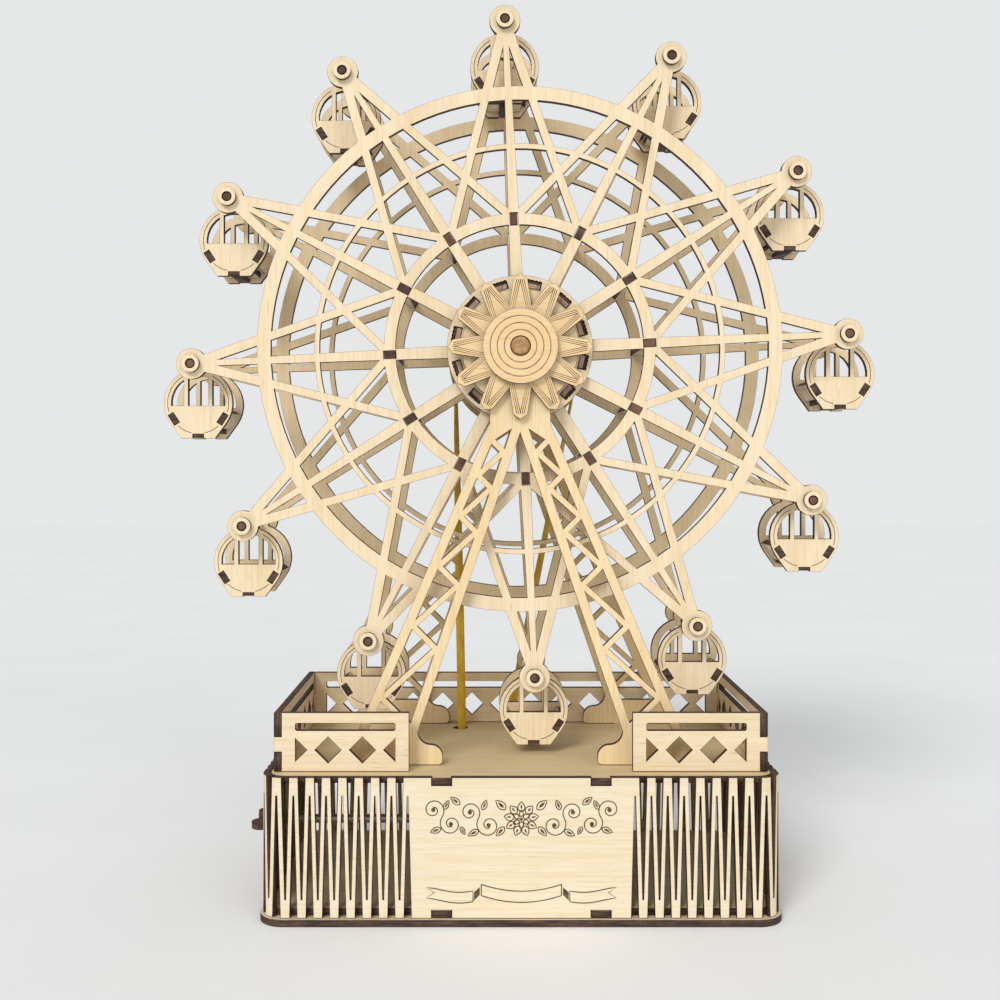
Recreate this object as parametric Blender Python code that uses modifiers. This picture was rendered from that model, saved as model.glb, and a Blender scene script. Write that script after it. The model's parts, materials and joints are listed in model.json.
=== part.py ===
"""Ferris wheel music box of laser cut plywood.

Metres, +Z up. The origin is on the table, under the middle of the object. The front faces -Y.
The wheel turns about an axle along Y. Twelve cabins hang on pins between its two plates. A
rubber band runs from a pulley behind the wheel, through the deck, to the music movement.
"""

import math

import bmesh
import bpy
from mathutils import Matrix, Vector

# Sheet stock and fits
PLY = 0.003
FIT = 0.0003
OVERRUN = 0.001
WELD = 0.00001

# Base box
BASE_WIDTH = 0.218
BASE_HEIGHT = 0.061
BASE_CORNER = 0.011
WALL_SETBACK = 0.0012

# Slats of the walls
FRONT_PANEL_WIDTH = 0.094
SIDE_PANEL_WIDTH = 0.020
SLIT_PITCH = 0.00672
FIRST_SLIT = 0.0031
SLIT_MOUTH = 0.0032
SLIT_END = 0.0006
SLIT_WEB = 0.0075
NOTCH_WIDTH = 0.0085
NOTCH_SPACING = 0.0656

# Wheel plates
PLATE_SPACING = 0.048
SECTORS = 12
WHEEL_PHASE_DEG = 2.6
HUB_RADIUS = 0.0315
NODE_RING_RISE = 0.0250
NODE_RING_BAND = 0.0050
MID_RING_RISE = 0.0327
MID_RING_BAND = 0.0022
RIM_RISE = 0.0250
RIM_BAND = 0.0060
TIP_RISE = 0.0286
TIP_RADIUS = 0.0067
SPOKE_ROOT_WIDTH = 0.0054
SPOKE_TIP_WIDTH = 0.0023
ARM_WIDTH = 0.0036
ARM_OUTER_WIDTH = 0.0042

# Ring spacers
SPACER_WIDTH = 0.0030
SPACER_DEPTH = 0.0050

# Hub
SLAT_INSET = 0.0040
SLAT_SLOT_LENGTH = 0.0065
AXLE_RADIUS = 0.0040
AXLE_PROUD = 0.0010
STAR_RADIUS = 0.0310
STAR_RAY_LENGTH = 0.0130
STAR_RAY_WIDTH = 0.0060
STAR_SHOULDER_SHARE = 0.35
CAP_RADIUS = 0.0160
HUB_RUNNING_GAP = 0.0015

# Cabins
CABIN_RADIUS = 0.0153
CABIN_LENGTH = 0.026
CABIN_LUG_RISE = 0.0012
CABIN_LUG_RADIUS = 0.0048
CABIN_RIM = 0.0033
CABIN_DECK_GAP = 0.0040
CABIN_SILL_DROP = 0.0012
CABIN_MULLION_SPACING = 0.0108
CABIN_MULLION_WIDTH = 0.0019
CABIN_FOOT_WIDTH = 0.0150
CABIN_FOOT_PROUD = 0.0004
CABIN_NOTCH_WIDTH = 0.0050
CABIN_NOTCH_HEIGHT = 0.0020
CABIN_PANEL_WIDTH = 0.0080
CABIN_PANEL_INSET = 0.0024
CABIN_PANEL_DEG = 57.0
PIN_RADIUS = 0.0016
PIN_WASHER_RADIUS = 0.0038
PIN_WASHER_LENGTH = 0.0024

# Towers
TOWER_HEAD_RADIUS = 0.0250
TOWER_NECK_WIDTH = 0.0260
TOWER_NECK_DROP = 0.0330
TOWER_CROTCH_DROP = 0.0365
OUTER_RAIL_SLOPE = 0.431
INNER_RAIL_SLOPE = 0.343
TOWER_RAIL = 0.0040
TOWER_BRACE = 0.0025
BRACE_SLOPE_INWARD = 0.91
LATTICE_TOP_DROP = 0.0350
LATTICE_NODE_RISE = 0.0287
LATTICE_FLOOR_RISE = 0.0120
OGEE_UPPER = 0.0057
OGEE_LOWER = 0.0050
OGEE_STEP = 0.0035
TOE_RADIUS = 0.0020
FOOT_TAB_WIDTH = 0.0120

# Fences
FENCE_HEIGHT = 0.0245
FENCE_FRONT_WIDTH = 0.0533
FENCE_SIDE_INSET = 0.0085
FENCE_FRONT_INSET = 0.0120
FENCE_BACK_INSET = 0.0065
FENCE_FRONT_GAP = 0.0082
FENCE_BACK_GAP = 0.0005
FENCE_SLOT_DROP = 0.0043
FENCE_SLOT_HEIGHT = 0.0032
FENCE_MARGIN = 0.0057
DIAMOND_WIDTH = 0.0112
DIAMOND_HEIGHT = 0.0112
DIAMOND_GAP = 0.0031
DIAMOND_RISE = 0.0090
END_TRIANGLE_WIDTH = 0.0050
END_TRIANGLE_HEIGHT = 0.0098
FINGER_HEIGHT = 0.0062
FINGER_RISE = 0.0082

# Drive by rubber band
DRIVE_PULLEY_RADIUS = 0.0330
DRIVE_PULLEY_RIM = 0.0023
SMALL_PULLEY_RADIUS = 0.0100
SMALL_PULLEY_RIM = 0.0016
BAND_THICKNESS = 0.0022
GROOVE_WIDTH = 0.0044
PULLEY_FLANGE = 0.0014
PULLEY_BOSS_RADIUS = 0.0080
PULLEY_BOSS_FRONT = 0.0083
PULLEY_BOSS_BACK = 0.0034
BAND_SLOT_WIDTH = 0.0070
BAND_SLOT_DEPTH = 0.0060

# Music movement
ARBOR_X = -0.0180
ARBOR_RISE = 0.0267
ARBOR_RADIUS = 0.0015
ARBOR_OVERHANG = 0.0208
BEDPLATE_THICKNESS = 0.0020
BEDPLATE_MARGIN = 0.0030
POST_THICKNESS = 0.0020
POST_WIDTH = 0.0120
POST_ABOVE_ARBOR = 0.0050
CYLINDER_RADIUS = 0.0065
CYLINDER_LENGTH = 0.0160
BARREL_RADIUS = 0.0100
BARREL_LENGTH = 0.0110
GEAR_RADIUS = 0.0092
GEAR_TEETH = 24
GEAR_THICKNESS = 0.0020
GEAR_TOOTH_DEPTH = 0.0014
COMB_TEETH = 18
COMB_THICKNESS = 0.0010
COMB_ROOT_LENGTH = 0.0080
COMB_TOOTH_LENGTH = 0.0140
COMB_TOOTH_GAP = 0.0003
COMB_PIN_GAP = 0.0008
GOVERNOR_LENGTH = 0.0100
GOVERNOR_HEIGHT = 0.0180
GOVERNOR_GAP = 0.0015
GOVERNOR_BEVEL = 0.0015

# Winding key
KEY_DROP = 0.0035
KEY_SHAFT_RADIUS = 0.0020
KEY_LENGTH = 0.0105
KEY_WIDTH = 0.0260
KEY_THICKNESS = 0.0060
KEY_WALL_GAP = 0.0008
KEY_HUB_WIDTH = 0.0090
KEY_LOBE_RADIUS = 0.0045
KEY_WAIST_LENGTH = 0.0085
KEY_BORE_DEPTH = 0.0065
KEY_LOBE_START_DEG = -60.0
PINION_RADIUS = 0.0045
PINION_LENGTH = 0.0050

# Fineness of curved outlines
ARC_STEP_DEG = 10.0
MEDIUM_ARC_STEP_DEG = 15.0
COARSE_ARC_STEP_DEG = 27.0
TURNED_STEPS = 24
SMALL_TURNED_STEPS = 12
PIN_STEPS = 8
BORE_SIDES = 16
PIN_BORE_SIDES = 8
SMOOTH_DEG = 40.0

# Derived sizes that several pieces share. A sheet's Y or Z is that of its middle plane.
SECTOR_DEG = 360.0 / SECTORS
NODE_CIRCLE = HUB_RADIUS + NODE_RING_RISE
MID_RING_RADIUS = NODE_CIRCLE + MID_RING_RISE
RIM_RADIUS = MID_RING_RADIUS + RIM_RISE
TIP_CIRCLE = RIM_RADIUS + TIP_RISE
STAR_VALLEY = STAR_RADIUS - STAR_RAY_LENGTH
DRIVE_BAND_CIRCLE = DRIVE_PULLEY_RADIUS - DRIVE_PULLEY_RIM
SMALL_BAND_CIRCLE = SMALL_PULLEY_RADIUS - SMALL_PULLEY_RIM
CABIN_DROP = CABIN_RADIUS + CABIN_LUG_RISE
CABIN_WINDOW_RADIUS = CABIN_RADIUS - CABIN_RIM
CABIN_PANEL_CIRCLE = CABIN_RADIUS - CABIN_PANEL_INSET
CABIN_FOOT_DROP = CABIN_RADIUS + CABIN_FOOT_PROUD
CABIN_REACH = CABIN_DROP + CABIN_FOOT_DROP
FLOOR_Z = PLY + FIT + PLY / 2
FLOOR_TOP = FLOOR_Z + PLY / 2
DECK_Z = BASE_HEIGHT - PLY / 2
DECK_REST = BASE_HEIGHT + FIT
AXLE_HEIGHT = BASE_HEIGHT + CABIN_DECK_GAP + CABIN_REACH + TIP_CIRCLE

# The stack from the wheel's middle to the front and back edges of the base
PLATE_REACH = PLATE_SPACING / 2
HUB_REACH = PLATE_REACH + PLY + FIT
TOWER_FRONT_REACH = HUB_REACH + PLY + HUB_RUNNING_GAP
STAR_REACH = TOWER_FRONT_REACH + PLY + FIT
CAP_FRONT_REACH = STAR_REACH + PLY + FIT
FENCE_FRONT_REACH = TOWER_FRONT_REACH + PLY + FENCE_FRONT_GAP
BOSS_FRONT_REACH = HUB_REACH + PLY / 2 + FIT
PULLEY_REACH = BOSS_FRONT_REACH + PULLEY_BOSS_FRONT + PULLEY_FLANGE + GROOVE_WIDTH / 2
BOSS_BACK_REACH = PULLEY_REACH + GROOVE_WIDTH / 2 + PULLEY_FLANGE + PULLEY_BOSS_BACK
TOWER_BACK_REACH = BOSS_BACK_REACH + HUB_RUNNING_GAP + PLY / 2
CAP_BACK_REACH = TOWER_BACK_REACH + PLY + FIT
FENCE_BACK_REACH = TOWER_BACK_REACH + PLY + FENCE_BACK_GAP
FRONT_DEPTH = FENCE_FRONT_REACH + FENCE_FRONT_INSET
BACK_DEPTH = FENCE_BACK_REACH + FENCE_BACK_INSET
BASE_DEPTH = FRONT_DEPTH + BACK_DEPTH
WHEEL_MIDDLE_Y = FRONT_DEPTH - BASE_DEPTH / 2
PLATE_FRONT_Y = WHEEL_MIDDLE_Y - PLATE_REACH
PLATE_BACK_Y = WHEEL_MIDDLE_Y + PLATE_REACH
HUB_FRONT_Y = WHEEL_MIDDLE_Y - HUB_REACH
HUB_BACK_Y = WHEEL_MIDDLE_Y + HUB_REACH
TOWER_FRONT_Y = WHEEL_MIDDLE_Y - TOWER_FRONT_REACH
STAR_Y = WHEEL_MIDDLE_Y - STAR_REACH
CAP_FRONT_Y = WHEEL_MIDDLE_Y - CAP_FRONT_REACH
PULLEY_Y = WHEEL_MIDDLE_Y + PULLEY_REACH
TOWER_BACK_Y = WHEEL_MIDDLE_Y + TOWER_BACK_REACH
CAP_BACK_Y = WHEEL_MIDDLE_Y + CAP_BACK_REACH
FENCE_FRONT_Y = WHEEL_MIDDLE_Y - FENCE_FRONT_REACH
FENCE_BACK_Y = WHEEL_MIDDLE_Y + FENCE_BACK_REACH

# The box inside and out
WALL_BOTTOM = PLY + FIT
WALL_HALF_WIDTH = BASE_WIDTH / 2 - WALL_SETBACK
WALL_HALF_DEPTH = BASE_DEPTH / 2 - WALL_SETBACK
WALL_CORNER = BASE_CORNER - WALL_SETBACK
INSIDE_HALF_WIDTH = WALL_HALF_WIDTH - PLY - FIT
INSIDE_HALF_DEPTH = WALL_HALF_DEPTH - PLY - FIT
INSIDE_CORNER = WALL_CORNER - PLY
STRAIGHT_HALF_WIDTH = WALL_HALF_WIDTH - WALL_CORNER
STRAIGHT_HALF_DEPTH = WALL_HALF_DEPTH - WALL_CORNER
FENCE_HALF_SPAN = BASE_WIDTH / 2 - FENCE_SIDE_INSET
FENCE_SIDE_LENGTH = FENCE_BACK_Y - FENCE_FRONT_Y + PLY
FENCE_SIDE_Y = (FENCE_FRONT_Y + FENCE_BACK_Y) / 2

# The towers, from the axle down
TOWER_NECK_HEIGHT = AXLE_HEIGHT - TOWER_NECK_DROP
TOWER_CROTCH_HEIGHT = AXLE_HEIGHT - TOWER_CROTCH_DROP
LATTICE_TOP = AXLE_HEIGHT - LATTICE_TOP_DROP
LATTICE_FIRST_NODE = BASE_HEIGHT + LATTICE_NODE_RISE
LATTICE_FLOOR = BASE_HEIGHT + LATTICE_FLOOR_RISE

# The movement, from its pulley forwards
SLAT_CIRCLE = HUB_RADIUS - SLAT_INSET
AXLE_BORE = AXLE_RADIUS + FIT
PIN_BORE = PIN_RADIUS + FIT
ARBOR_BORE = ARBOR_RADIUS + FIT
BEDPLATE_TOP = FLOOR_TOP + FIT + BEDPLATE_THICKNESS
ARBOR_HEIGHT = FLOOR_TOP + ARBOR_RISE
KEY_HEIGHT = ARBOR_HEIGHT - KEY_DROP
POST_BACK_Y = PULLEY_Y - ARBOR_OVERHANG
CYLINDER_Y = POST_BACK_Y - POST_THICKNESS / 2 - FIT - CYLINDER_LENGTH / 2
BARREL_Y = CYLINDER_Y - CYLINDER_LENGTH / 2 - FIT - BARREL_LENGTH / 2
GEAR_Y = BARREL_Y - BARREL_LENGTH / 2 - FIT - GEAR_THICKNESS / 2
POST_FRONT_Y = GEAR_Y - GEAR_THICKNESS / 2 - FIT - POST_THICKNESS / 2
COMB_TIPS = ARBOR_X + CYLINDER_RADIUS + COMB_PIN_GAP
COMB_ROOT = COMB_TIPS + COMB_TOOTH_LENGTH
COMB_END = COMB_ROOT + COMB_ROOT_LENGTH

# Finishes: name, colour, roughness, metallic
CREAM_PLY = ("cream_plywood", (0.83, 0.68, 0.49), 0.62, 0.0)
TAN_PLY = ("tan_plywood", (0.78, 0.61, 0.38), 0.62, 0.0)
DOWEL = ("birch_dowel", (0.55, 0.36, 0.18), 0.55, 0.0)
SCORCHED = ("scorched_plywood", (0.16, 0.08, 0.04), 0.70, 0.0)
YELLOW_RUBBER = ("yellow_rubber", (0.70, 0.46, 0.04), 0.50, 0.0)
BRASS = ("brass", (0.78, 0.60, 0.28), 0.30, 1.0)
STEEL = ("steel", (0.62, 0.62, 0.62), 0.32, 1.0)

# An outline's X and Y turned upright, and a turned piece's axis laid along Y or X
LEVEL = Matrix.Identity(4)
FACING_FRONT = Matrix.Rotation(math.pi / 2, 4, "X")
FACING_SIDE = Matrix.Rotation(math.pi / 2, 4, "Z") @ FACING_FRONT
ALONG_Y = Matrix.Rotation(-math.pi / 2, 4, "X")
ALONG_X = Matrix.Rotation(math.pi / 2, 4, "Y")
WHEEL_TURN = Matrix.Rotation(math.radians(-WHEEL_PHASE_DEG), 4, "Y") @ FACING_FRONT


def clear_scene():
    for obj in list(bpy.data.objects):
        bpy.data.objects.remove(obj, do_unlink=True)


def new_collection(name):
    collection = bpy.data.collections.new(name)
    bpy.context.scene.collection.children.link(collection)
    return collection


clear_scene()
PARTS = new_collection("ferris_wheel_music_box")
CUTTERS = new_collection("cutters")


def finish_material(finish):
    name, color, roughness, metallic = finish
    material = bpy.data.materials.get(name)
    if material is None:
        material = bpy.data.materials.new(name)
        material.use_nodes = True
        shader = material.node_tree.nodes["Principled BSDF"]
        shader.inputs["Base Color"].default_value = (*color, 1.0)
        shader.inputs["Roughness"].default_value = roughness
        shader.inputs["Metallic"].default_value = metallic
    return material


def place(obj, turn, location):
    obj.matrix_world = Matrix.Translation(Vector(location)) @ turn
    bpy.context.view_layer.update()


def mesh_from(draft, name, finish):
    """Turn a curve, or an object with modifiers, into one welded mesh object."""
    bpy.context.view_layer.update()
    evaluated = draft.evaluated_get(bpy.context.evaluated_depsgraph_get())
    mesh = bpy.data.meshes.new_from_object(evaluated)
    matrix = draft.matrix_world.copy()
    bpy.data.objects.remove(draft, do_unlink=True)
    welded = bmesh.new()
    welded.from_mesh(mesh)
    bmesh.ops.remove_doubles(welded, verts=welded.verts, dist=WELD)
    bmesh.ops.recalc_face_normals(welded, faces=welded.faces)
    welded.to_mesh(mesh)
    welded.free()
    mesh.name = name
    mesh.materials.clear()
    mesh.materials.append(finish_material(finish))
    made = bpy.data.objects.new(name, mesh)
    PARTS.objects.link(made)
    made.matrix_world = matrix
    return made


def shade_round(obj):
    obj.data.shade_smooth()
    obj.data.set_sharp_from_angle(angle=math.radians(SMOOTH_DEG))


def flat_piece(name, loops, thickness, finish, turn, location):
    """A sheet: the first loop is its outline and the others are its holes."""
    curve = bpy.data.curves.new(name, "CURVE")
    curve.dimensions = "2D"
    curve.fill_mode = "BOTH"
    curve.extrude = thickness / 2
    for loop in loops:
        spline = curve.splines.new("POLY")
        spline.points.add(len(loop) - 1)
        for point, (x, y) in zip(spline.points, loop):
            point.co = (x, y, 0.0, 1.0)
        spline.use_cyclic_u = True
    draft = bpy.data.objects.new(name + "_draft", curve)
    PARTS.objects.link(draft)
    made = mesh_from(draft, name, finish)
    place(made, turn, location)
    return made


def turned_piece(name, profile, finish, turn, location, steps=TURNED_STEPS):
    """A turned piece: its profile is (radius, height) pairs, closed where it has a bore."""
    links = [(i, i + 1) for i in range(len(profile) - 1)]
    if profile[0][0] > 0:
        links.append((len(profile) - 1, 0))
    mesh = bpy.data.meshes.new(name)
    mesh.from_pydata([(radius, 0.0, height) for radius, height in profile], links, [])
    draft = bpy.data.objects.new(name + "_draft", mesh)
    PARTS.objects.link(draft)
    screw = draft.modifiers.new("turned", "SCREW")
    screw.axis = "Z"
    screw.steps = steps
    screw.render_steps = steps
    screw.use_merge_vertices = True
    screw.merge_threshold = WELD
    made = mesh_from(draft, name, finish)
    shade_round(made)
    place(made, turn, location)
    return made


def box_piece(name, size, finish, turn, location):
    mesh = bpy.data.meshes.new(name)
    draft = bmesh.new()
    bmesh.ops.create_cube(draft, size=1.0)
    bmesh.ops.scale(draft, vec=Vector(size), verts=draft.verts)
    draft.to_mesh(mesh)
    draft.free()
    mesh.materials.append(finish_material(finish))
    made = bpy.data.objects.new(name, mesh)
    PARTS.objects.link(made)
    place(made, turn, location)
    return made


def make_cutter(obj):
    PARTS.objects.unlink(obj)
    CUTTERS.objects.link(obj)
    obj.hide_render = True
    obj.display_type = "WIRE"


def joined_piece(base, others, name, finish):
    """One mesh object: the base joined with the others, which are used up."""
    for other in others:
        modifier = base.modifiers.new(other.name, "BOOLEAN")
        modifier.operation = "UNION"
        modifier.object = other
    made = mesh_from(base, name, finish)
    for other in others:
        bpy.data.objects.remove(other, do_unlink=True)
    return made


def axis_empty(name, location, pieces):
    """An empty on a joint's axis, with the pieces that turn about it."""
    empty = bpy.data.objects.new(name, None)
    PARTS.objects.link(empty)
    place(empty, LEVEL, location)
    for piece in pieces:
        piece.parent = empty
        piece.matrix_parent_inverse = empty.matrix_world.inverted()
    return empty


ORIGIN = Vector((0.0, 0.0))


def polar(radius, degrees, center=ORIGIN):
    angle = math.radians(degrees)
    return center + Vector((radius * math.cos(angle), radius * math.sin(angle)))


def bearing(point, center=ORIGIN):
    offset = point - center
    return math.degrees(math.atan2(offset.y, offset.x))


def arc(radius, start, end, step=ARC_STEP_DEG, center=ORIGIN):
    """Points along an arc, with both its ends."""
    count = max(1, math.ceil(abs(end - start) / step))
    return [polar(radius, start + (end - start) * i / count, center) for i in range(count + 1)]


def circle(radius, step=ARC_STEP_DEG):
    return arc(radius, 0.0, 360.0, step)[:-1]


def round_hole(radius, sides=BORE_SIDES, center=ORIGIN):
    """A hole with flats that all clear the radius."""
    corner = radius / math.cos(math.pi / sides)
    return [polar(corner, 360.0 * i / sides, center) for i in range(sides)]


def rectangle(width, height, center=ORIGIN, degrees=0.0):
    corners = [(-width, -height), (width, -height), (width, height), (-width, height)]
    turn = Matrix.Rotation(math.radians(degrees), 2)
    return [center + turn @ (Vector(corner) / 2) for corner in corners]


def rotated(points, degrees):
    turn = Matrix.Rotation(math.radians(degrees), 2)
    return [turn @ point for point in points]


def mirrored(points):
    """The other side of X = 0, in the order that carries an outline on."""
    return [Vector((-point.x, point.y)) for point in reversed(points)]


def edge(start, end, shift=0.0):
    """A straight edge: a point on it and its direction, shifted to its left."""
    direction = (end - start).normalized()
    left = Vector((-direction.y, direction.x))
    return start + left * shift, direction


def meet(first, second):
    """Where two straight edges cross."""
    (start, along), (other, across) = first, second
    apart = other - start
    turn = along.x * across.y - along.y * across.x
    return start + along * ((apart.x * across.y - apart.y * across.x) / turn)


def meet_circle(line, radius, far, center=ORIGIN):
    """Where a straight edge crosses a circle: the far or the near crossing along it."""
    start, along = line
    apart = start - center
    middle = -apart.dot(along)
    half = math.sqrt(middle * middle - apart.dot(apart) + radius * radius)
    return start + along * (middle + half if far else middle - half)


def narrowed(corners, shifts):
    """A polygon whose edges are each moved inwards by its own shift."""
    area = sum(a.x * b.y - a.y * b.x for a, b in zip(corners, corners[1:] + corners[:1]))
    side = 1 if area > 0 else -1
    ends = corners[1:] + corners[:1]
    edges = [edge(a, b, shift * side) for a, b, shift in zip(corners, ends, shifts)]
    return [meet(before, after) for before, after in zip(edges[-1:] + edges[:-1], edges)]


def rounded_sheet(half_width, half_depth, corner, tab_places=(), tab_width=0.0, tab_reach=0.0):
    """A rounded rectangle, with tabs on its front and back edges."""
    front = []
    for place_x in tab_places:
        left, right = place_x - tab_width / 2, place_x + tab_width / 2
        front += [(left, -half_depth), (left, -tab_reach), (right, -tab_reach), (right, -half_depth)]
    center_x, center_y = half_width - corner, half_depth - corner
    step = MEDIUM_ARC_STEP_DEG
    half = [Vector(point) for point in front]
    half += arc(corner, -90.0, 0.0, step, Vector((center_x, -center_y)))
    half += arc(corner, 0.0, 90.0, step, Vector((center_x, center_y)))
    back = [Vector((-point.x, -point.y)) for point in half]
    return half + back


def slit_positions(panel_half, half_length):
    """Places of the slits that open at the top, and of those that open at the bottom."""
    room = half_length - SLIT_MOUTH
    place_x = panel_half + FIRST_SLIT
    upper, lower = [], [place_x - SLIT_PITCH / 2]
    while place_x < room:
        upper.append(place_x)
        if place_x + SLIT_PITCH / 2 < room:
            lower.append(place_x + SLIT_PITCH / 2)
        place_x += SLIT_PITCH
    return upper, lower


def cut_edge(places, notches, start_height, height, rise):
    """Points along an edge, left to right, with its tapered slits and square notches."""
    depth = rise * (height - SLIT_WEB)
    notch_depth = rise * (PLY + FIT)
    cuts = [(x, SLIT_MOUTH, SLIT_END, depth) for x in places]
    cuts += [(x, NOTCH_WIDTH, NOTCH_WIDTH, notch_depth) for x in notches]
    points = []
    for x, mouth, end, reach in sorted(cuts):
        points.append(Vector((x - mouth / 2, start_height)))
        points.append(Vector((x - end / 2, start_height + reach)))
        points.append(Vector((x + end / 2, start_height + reach)))
        points.append(Vector((x + mouth / 2, start_height)))
    return points


def slatted_loop(panel_half, half_length, notches):
    """The unrolled outline of a slatted wall."""
    height = BASE_HEIGHT - WALL_BOTTOM
    upper, lower = slit_positions(panel_half, half_length)
    upper += [-x for x in upper]
    lower += [-x for x in lower]
    loop = [Vector((-half_length, WALL_BOTTOM))]
    loop += cut_edge(lower, notches, WALL_BOTTOM, height, 1)
    loop += [Vector((half_length, WALL_BOTTOM)), Vector((half_length, BASE_HEIGHT))]
    loop += reversed(cut_edge(upper, notches, BASE_HEIGHT, height, -1))
    loop.append(Vector((-half_length, BASE_HEIGHT)))
    return loop


def bend_ends(wall):
    """Roll the two ends of a flat wall round the base's corners."""
    middle_radius = WALL_CORNER - PLY / 2
    for vertex in wall.data.vertices:
        x, z, outward = vertex.co
        side = math.copysign(1.0, x)
        past = abs(x) - STRAIGHT_HALF_WIDTH
        if past > 0:
            angle = past / middle_radius
            radius = middle_radius + outward
            x = side * (STRAIGHT_HALF_WIDTH + radius * math.sin(angle))
            outward = radius * math.cos(angle) - middle_radius
        vertex.co = (x, z, outward)
    wall.data.update()


def build_base():
    half_width, half_depth = BASE_WIDTH / 2, BASE_DEPTH / 2
    outline = rounded_sheet(half_width, half_depth, BASE_CORNER)
    flat_piece("base_plate", [outline], PLY, CREAM_PLY, LEVEL, (0, 0, PLY / 2))
    notches = [-NOTCH_SPACING / 2, NOTCH_SPACING / 2]
    tab_width = NOTCH_WIDTH - 2 * FIT
    inside = rounded_sheet(
        INSIDE_HALF_WIDTH, INSIDE_HALF_DEPTH, INSIDE_CORNER, notches, tab_width, WALL_HALF_DEPTH
    )
    flat_piece("floor_plate", [inside], PLY, CREAM_PLY, LEVEL, (0, 0, FLOOR_Z))
    holes = [rectangle(*size, center) for size, center in deck_slots()]
    flat_piece("deck", [inside] + holes, PLY, TAN_PLY, LEVEL, (0, 0, DECK_Z))

    corner_length = (WALL_CORNER - PLY / 2) * math.pi / 2
    long_half = STRAIGHT_HALF_WIDTH + corner_length
    front_loop = slatted_loop(FRONT_PANEL_WIDTH / 2, long_half, notches)
    wall_y = WALL_HALF_DEPTH - PLY / 2
    half_turn = Matrix.Rotation(math.pi, 4, "Z")
    for name, turn, y in (
        ("front_wall", FACING_FRONT, -wall_y),
        ("back_wall", half_turn @ FACING_FRONT, wall_y),
    ):
        wall = flat_piece(name, [front_loop], PLY, CREAM_PLY, LEVEL, (0, 0, 0))
        bend_ends(wall)
        place(wall, turn, (0, y, 0))

    side_loop = slatted_loop(SIDE_PANEL_WIDTH / 2, STRAIGHT_HALF_DEPTH - FIT, [])
    wall_x = WALL_HALF_WIDTH - PLY / 2
    key_hole = round_hole(KEY_SHAFT_RADIUS + FIT, BORE_SIDES, Vector((BARREL_Y, KEY_HEIGHT)))
    left, right = [side_loop, key_hole], [side_loop]
    flat_piece("left_wall", left, PLY, CREAM_PLY, FACING_SIDE, (-wall_x, 0, 0))
    flat_piece("right_wall", right, PLY, CREAM_PLY, FACING_SIDE, (wall_x, 0, 0))


def deck_slots():
    """Size and centre of each hole in the deck: the tower feet's tabs and the band."""
    slots = []
    for y in (TOWER_FRONT_Y, TOWER_BACK_Y):
        for side in (-1, 1):
            center = Vector((side * foot_middle(), y))
            slots.append(((FOOT_TAB_WIDTH + 2 * FIT, PLY + 2 * FIT), center))
    for x in band_crossings(DECK_Z):
        slots.append(((BAND_SLOT_WIDTH, BAND_SLOT_DEPTH), Vector((x, PULLEY_Y))))
    return slots


def sector_holes():
    """The ten holes of one sector of a wheel plate, from the spoke along X to the next."""
    tip, next_tip = polar(TIP_CIRCLE, 0.0), polar(TIP_CIRCLE, SECTOR_DEG)
    node, next_node = polar(NODE_CIRCLE, 0.0), polar(NODE_CIRCLE, SECTOR_DEG)
    root = Vector((HUB_RADIUS, SPOKE_ROOT_WIDTH / 2))
    spoke = edge(root, Vector((TIP_CIRCLE, SPOKE_TIP_WIDTH / 2)))
    arm_in = edge(tip, next_node, ARM_WIDTH / 2)
    arm_out = edge(tip, next_node, -ARM_WIDTH / 2)
    arm_near_tip = edge(tip, next_node, ARM_OUTER_WIDTH / 2)
    cross_in = edge(next_tip, node, -ARM_WIDTH / 2)
    cross_out = edge(next_tip, node, ARM_WIDTH / 2)
    node_in = NODE_CIRCLE - NODE_RING_BAND / 2
    node_out = NODE_CIRCLE + NODE_RING_BAND / 2
    mid_in = MID_RING_RADIUS - MID_RING_BAND
    rim_in = RIM_RADIUS - RIM_BAND

    def across(line, radius, far):
        return bearing(meet_circle(line, radius, far))

    def band(inner, inner_start, inner_end, outer, outer_start, outer_end):
        return arc(inner, inner_end, inner_start) + arc(outer, outer_start, outer_end)

    def both(points):
        """A hole and its mirror image in the sector's middle line."""
        flipped = [polar(point.length, SECTOR_DEG - bearing(point)) for point in points]
        return [points, flipped]

    at_hub, at_node = across(spoke, HUB_RADIUS, True), across(spoke, node_in, True)
    window = band(HUB_RADIUS, at_hub, SECTOR_DEG - at_hub, node_in, at_node, SECTOR_DEG - at_node)
    low = across(arm_in, node_out, False)
    bottom = arc(node_out, SECTOR_DEG - low, low) + [meet(arm_in, cross_in)]
    left = [meet(spoke, cross_out)]
    left += arc(mid_in, across(spoke, mid_in, True), across(arm_in, mid_in, False))
    left.append(meet(arm_in, cross_out))
    side = band(
        MID_RING_RADIUS,
        across(spoke, MID_RING_RADIUS, True),
        across(arm_in, MID_RING_RADIUS, False),
        rim_in,
        across(spoke, rim_in, True),
        across(arm_in, rim_in, False),
    )
    sliver = arc(RIM_RADIUS, across(arm_near_tip, RIM_RADIUS, False), across(spoke, RIM_RADIUS, True))
    sliver.append(meet(spoke, arm_near_tip))
    top_low_start = across(arm_out, mid_in, False)
    top_low = arc(mid_in, top_low_start, SECTOR_DEG - top_low_start) + [meet(arm_out, cross_out)]
    inner, outer = across(arm_out, MID_RING_RADIUS, False), across(arm_out, rim_in, False)
    top = band(MID_RING_RADIUS, inner, SECTOR_DEG - inner, rim_in, outer, SECTOR_DEG - outer)
    return [window, bottom, top_low, top] + both(left) + both(side) + both(sliver)


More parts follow.
